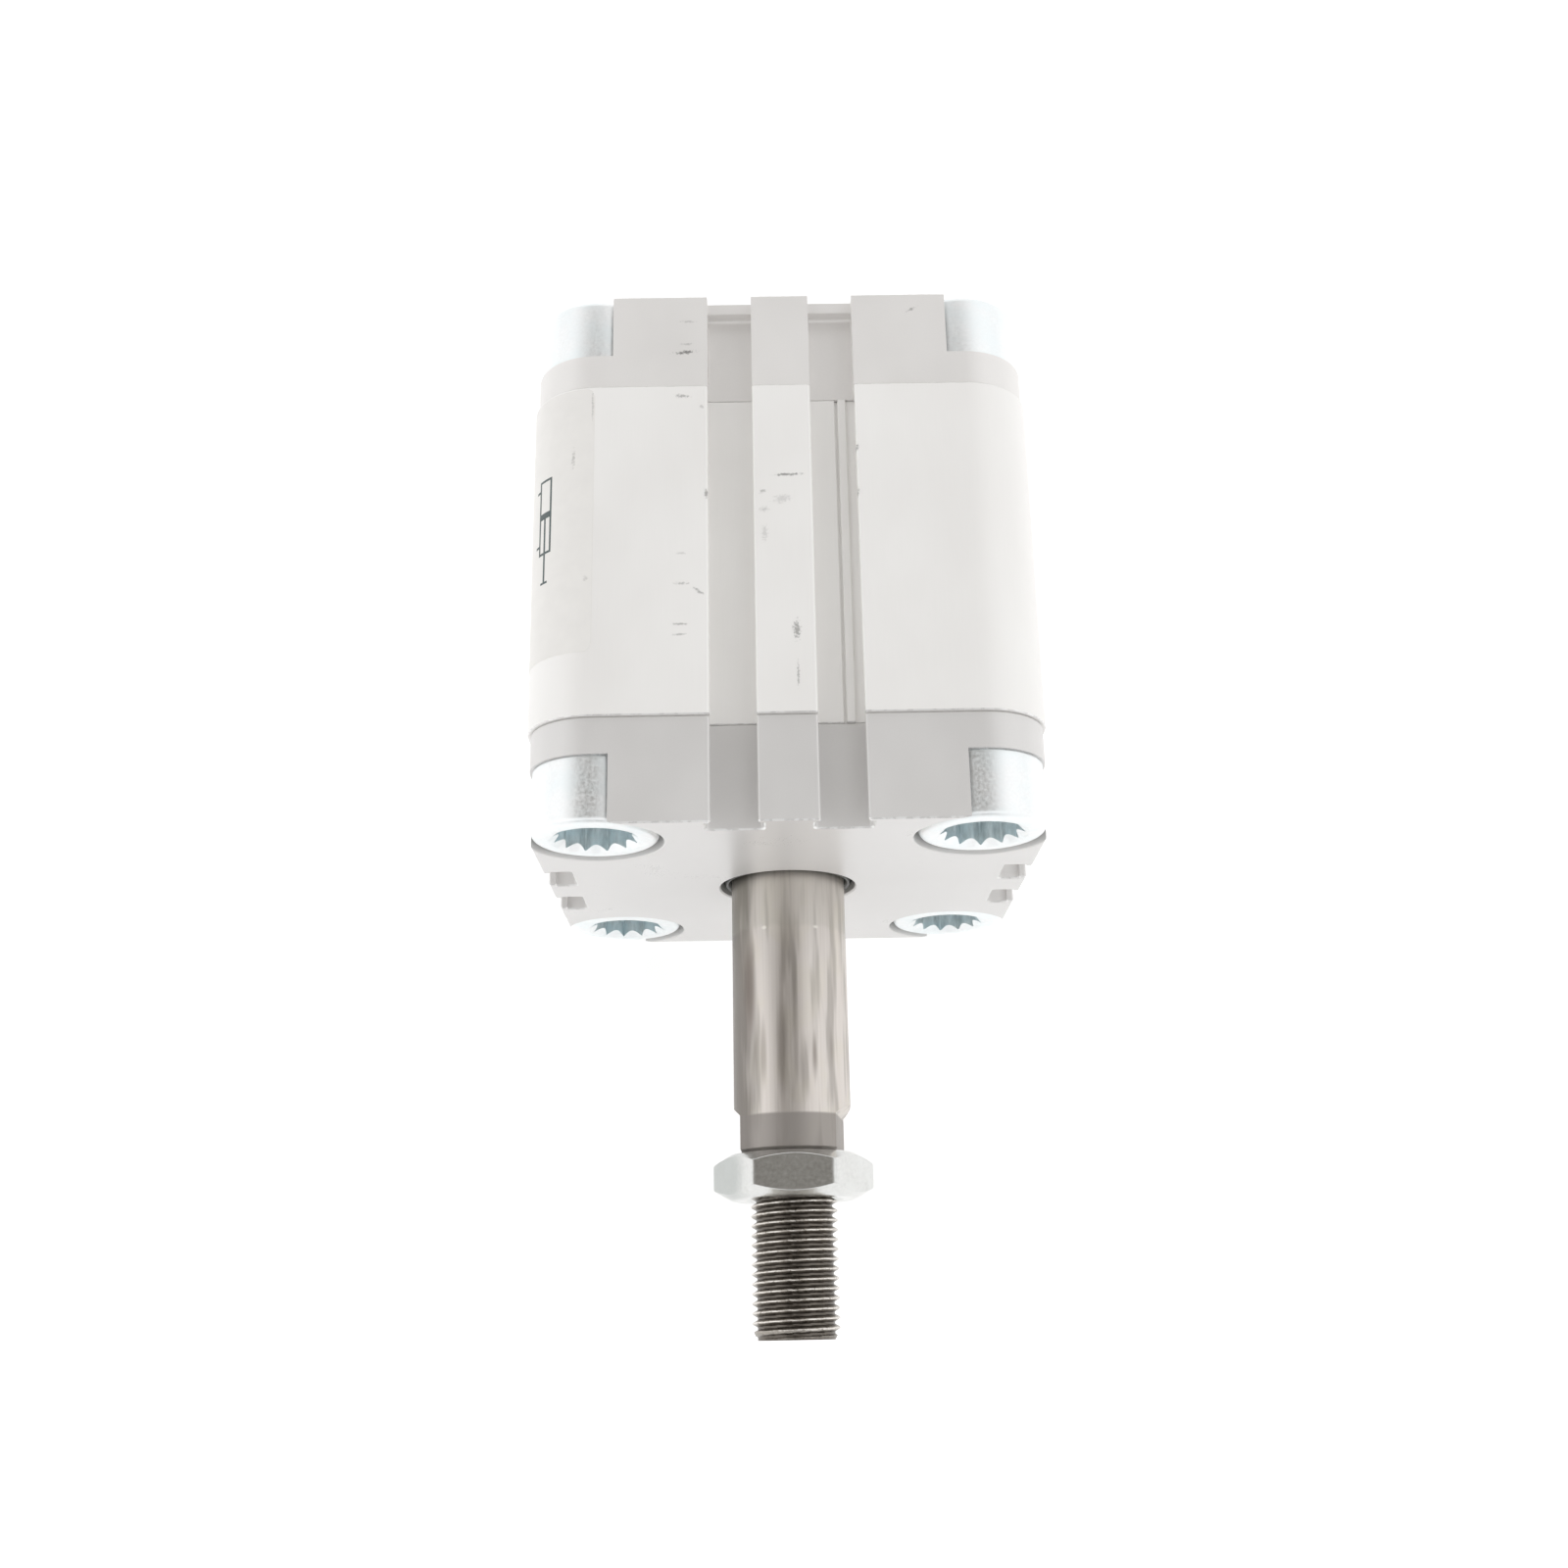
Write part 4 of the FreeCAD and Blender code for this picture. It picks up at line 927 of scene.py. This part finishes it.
# ------------------------------------------------------------------ wiper seal
wiper = ring_lathe([(5.0, 9.58), (1.15, 9.58), (0.95, 9.45), (0.95, 9.25), (1.45, 9.05), (1.45, 8.95), (0.50, 8.86), (0.36, 8.74),
                    (0.36, 8.58), (0.46, 8.46), (1.05, 8.08), (1.25, 8.05), (1.4, 8.1), (2.2, 8.45), (3.2, 8.4),
                    (3.9, 8.07), (4.1, 8.05), (4.4, 8.2), (4.1, 8.7), (5.0, 8.9)], 144, "wiper", 40)
new_object("wiper_lip", wiper, "barrel", ["rod_wiper_seal"], [M_SEAL])

# ---------------------------------------------------------------------- label
lab_lo, lab_hi = box_mm("rating_label")


def on_barrel(u, off):
    """Point (x, z) at arc length u past the top left corner arc's start, off above the skin."""
    r, arc = CR_B, CR_B * math.pi / 2
    cx, cz = -BOLT, BOLT
    if u < 0:
        return cx - u, cz + r + off
    if u < arc:
        a = math.pi / 2 + u / r
        return cx + (r + off) * math.cos(a), cz + (r + off) * math.sin(a)
    return cx - r - off, cz - (u - arc)


def wrap_patch(name, u0, u1, y0, y1, off0, off1, nu, nv, corner=0.0, wave=0.0):
    """Thin closed film on the barrel's corner, from u0 to u1 round it and y0 to y1 along it."""
    b = Builder()
    top, low = [], []
    for i in range(nu + 1):
        u = u0 + (u1 - u0) * i / nu
        d = min(u - u0, u1 - u)
        cut_ = corner - math.sqrt(max(corner ** 2 - max(corner - d, 0) ** 2, 0)) if corner else 0.0
        row_t, row_l = [], []
        for j in range(nv + 1):
            y = y0 + cut_ + (y1 - y0 - 2 * cut_) * j / nv
            e = off1 - wave * (0.5 + 0.5 * math.sin(u * 1.9 + 0.7 * math.sin(y * 0.31)) * math.sin(y * 0.53))
            for row, off in ((row_t, e), (row_l, off0)):
                x, z = on_barrel(u, off)
                row.append(len(b.v))
                b.v.append((x, y, z))
        top.append(row_t)
        low.append(row_l)
    for i in range(nu):
        for j in range(nv):
            b.f.append((top[i][j], top[i + 1][j], top[i + 1][j + 1], top[i][j + 1]))
            b.f.append((low[i][j], low[i][j + 1], low[i + 1][j + 1], low[i + 1][j]))
            b.m += [0, 0]
    for i in range(nu):
        b.f.append((top[i][0], low[i][0], low[i + 1][0], top[i + 1][0]))
        b.f.append((top[i][nv], top[i + 1][nv], low[i + 1][nv], low[i][nv]))
        b.m += [0, 0]
    for j in range(nv):
        b.f.append((top[0][j], top[0][j + 1], low[0][j + 1], low[0][j]))
        b.f.append((top[nu][j], low[nu][j], low[nu][j + 1], top[nu][j + 1]))
        b.m += [0, 0]
    return b


ARC = CR_B * math.pi / 2
film = wrap_patch("film", 0.0, ARC + BOLT - lab_lo[2], lab_lo[1], lab_hi[1], -0.01, 0.052, 72, 48, 1.2, 0.012)
new_object("label_film", film.mesh("label_film", 40, 1e-6), "barrel", ["rating_label"], [M_LABEL])

# Plain graphic symbol of a double-acting cylinder, printed on the film.
ink = Builder()


def ink_bar(u0, u1, y0, y1):
    p = wrap_patch("bar", u0, u1, y0, y1, 0.03, 0.062, max(1, int((u1 - u0) / 0.25)), max(1, int((y1 - y0) / 1.0)))
    k = len(ink.v)
    ink.v += p.v
    ink.f += [tuple(i + k for i in f) for f in p.f]
    ink.m += p.m


uc = CR_B * math.radians(138 - 90)
for u0, u1, y0, y1 in [(-1.3, -0.98, 38.0, 49.0), (0.98, 1.3, 38.0, 49.0), (-0.98, 0.98, 38.0, 38.32), (-0.98, 0.98, 48.68, 49.0),
                       (-0.98, 0.98, 43.2, 44.1), (-0.17, 0.17, 34.0, 43.2), (1.3, 2.1, 39.3, 39.62), (1.3, 2.1, 47.4, 47.72),
                       (-0.7, 0.7, 33.7, 34.0)]:
    ink_bar(uc + u0, uc + u1, y0, y1)
new_object("label_symbol", ink.mesh("label_symbol", 40, 1e-6), "barrel", [], [M_INK])

# ----------------------------------------------- CAD pieces that stay as made
FINISH = {
    "rod_bearing_bush": M_BRONZE, "front_buffer_ring": M_PU, "rear_buffer_ring": M_PU,
    "front_cap_o_ring": M_RUBBER, "rear_cap_o_ring": M_RUBBER, "piston_front_disc": M_PISTON,
    "piston_rear_disc": M_PISTON, "piston_magnet": M_MAGNET, "piston_guide_ring": M_POM,
    "piston_seal_front": M_RUBBER, "piston_seal_rear": M_RUBBER, "piston_o_ring": M_RUBBER,
    "piston_screw": M_ZINC,
}
for name, mat in FINISH.items():
    o = nodes[name]
    o.data.materials.clear()
    o.data.materials.append(mat)

# ------------------------------------------------------------------- the stage
fl = 1.6
me = bpy.data.meshes.new("floor")
zf = (bar_lo[2] - 0.02) * MM
me.from_pydata([(-fl, -fl, zf), (fl, -fl, zf), (fl, fl, zf), (-fl, fl, zf)], [], [(0, 1, 2, 3)])
floor = bpy.data.objects.new("floor", me)
scene.collection.objects.link(floor)
mat = bpy.data.materials.new("floor_pale")
t, p = nt(mat)
p.inputs["Base Color"].default_value = (0.93, 0.93, 0.93, 1)
p.inputs["Roughness"].default_value = 0.7
p.inputs["Specular IOR Level"].default_value = 0.1
p.inputs["Emission Color"].default_value = (1, 1, 1, 1)
p.inputs["Emission Strength"].default_value = 0.35
me.materials.append(mat)

# Soft studio surround: bright all round, dimmer right overhead.
world = bpy.data.worlds.new("studio")
scene.world = world
world.use_nodes = True
wt = world.node_tree
wt.nodes.clear()
wo = wt.nodes.new("ShaderNodeOutputWorld")
bg = wt.nodes.new("ShaderNodeBackground")
wt.links.new(bg.outputs[0], wo.inputs[0])
tc = wt.nodes.new("ShaderNodeTexCoord")


def dim_zone(direction, edge, core):
    """0 outside, 1 inside a soft round patch of the surround (cosines of its edge and core)."""
    d = wt.nodes.new("ShaderNodeVectorMath")
    d.operation = "DOT_PRODUCT"
    d.inputs[1].default_value = Vector(direction).normalized()
    wt.links.new(tc.outputs["Generated"], d.inputs[0])
    r = wt.nodes.new("ShaderNodeMapRange")
    r.interpolation_type = "SMOOTHSTEP"
    r.inputs[1].default_value, r.inputs[2].default_value = edge, core
    r.inputs[3].default_value, r.inputs[4].default_value = 0.0, 1.0
    wt.links.new(d.outputs["Value"], r.inputs[0])
    return r.outputs[0]


def blend(fac, a, b):
    m = wt.nodes.new("ShaderNodeMix")
    m.data_type = "RGBA"
    wt.links.new(fac, m.inputs[0])
    for i, v in ((6, a), (7, b)):
        if isinstance(v, tuple):
            m.inputs[i].default_value = (*v, 1)
        else:
            wt.links.new(v, m.inputs[i])
    return m.outputs[2]


sky = blend(dim_zone((0.0, 0.0, 1.0), 0.05, 0.5), (0.95, 0.95, 0.95), (1.14, 1.14, 1.14))
sky = blend(dim_zone((-0.12, 0.21, 0.95), 0.77, 0.965), sky, (0.27, 0.255, 0.235))
sky = blend(dim_zone((0.0, -0.93, 0.36), 0.90, 0.975), sky, (0.35, 0.34, 0.34))
wt.links.new(sky, bg.inputs[0])
bg.inputs[1].default_value = 1.0


def softbox(name, loc, target, size, power, color=(1, 1, 1)):
    ld = bpy.data.lights.new(name, "AREA")
    ld.shape = "RECTANGLE"
    ld.size, ld.size_y = size
    ld.energy = power
    ld.color = color
    lo_ = bpy.data.objects.new(name, ld)
    scene.collection.objects.link(lo_)
    lo_.location = loc
    lo_.rotation_euler = (Vector(target) - Vector(loc)).to_track_quat("-Z", "Y").to_euler()
    return lo_


softbox("key", (0.9, 0.35, 0.75), (0, 0.01, 0), (0.8, 0.9), 0.03)
softbox("fill", (-0.9, -0.2, 0.6), (0, 0.01, 0), (0.8, 0.9), 0.32)

# ------------------------------------------------------------------ the camera
cam_data = bpy.data.cameras.new("camera")
cam = bpy.data.objects.new("camera", cam_data)
scene.collection.objects.link(cam)
scene.camera = cam
C = Vector((-2.80432671, -61.44305597, 238.76628153)) * MM
fwd = Vector((0.01015077, 0.30704112, -0.95164211)).normalized()
right = Vector((0.99981421, -0.01871161, 0.00462742))
right = (right - fwd * right.dot(fwd)).normalized()
upv = right.cross(fwd)
rot = Matrix((right, upv, -fwd)).transposed()
cam.matrix_world = Matrix.Translation(C) @ rot.to_4x4()
cam_data.sensor_width = 36.0
cam_data.lens = 36.0 * 1758.236 / 1600.0
cam_data.clip_start, cam_data.clip_end = 0.01, 20.0
scene.view_settings.view_transform = "Standard"
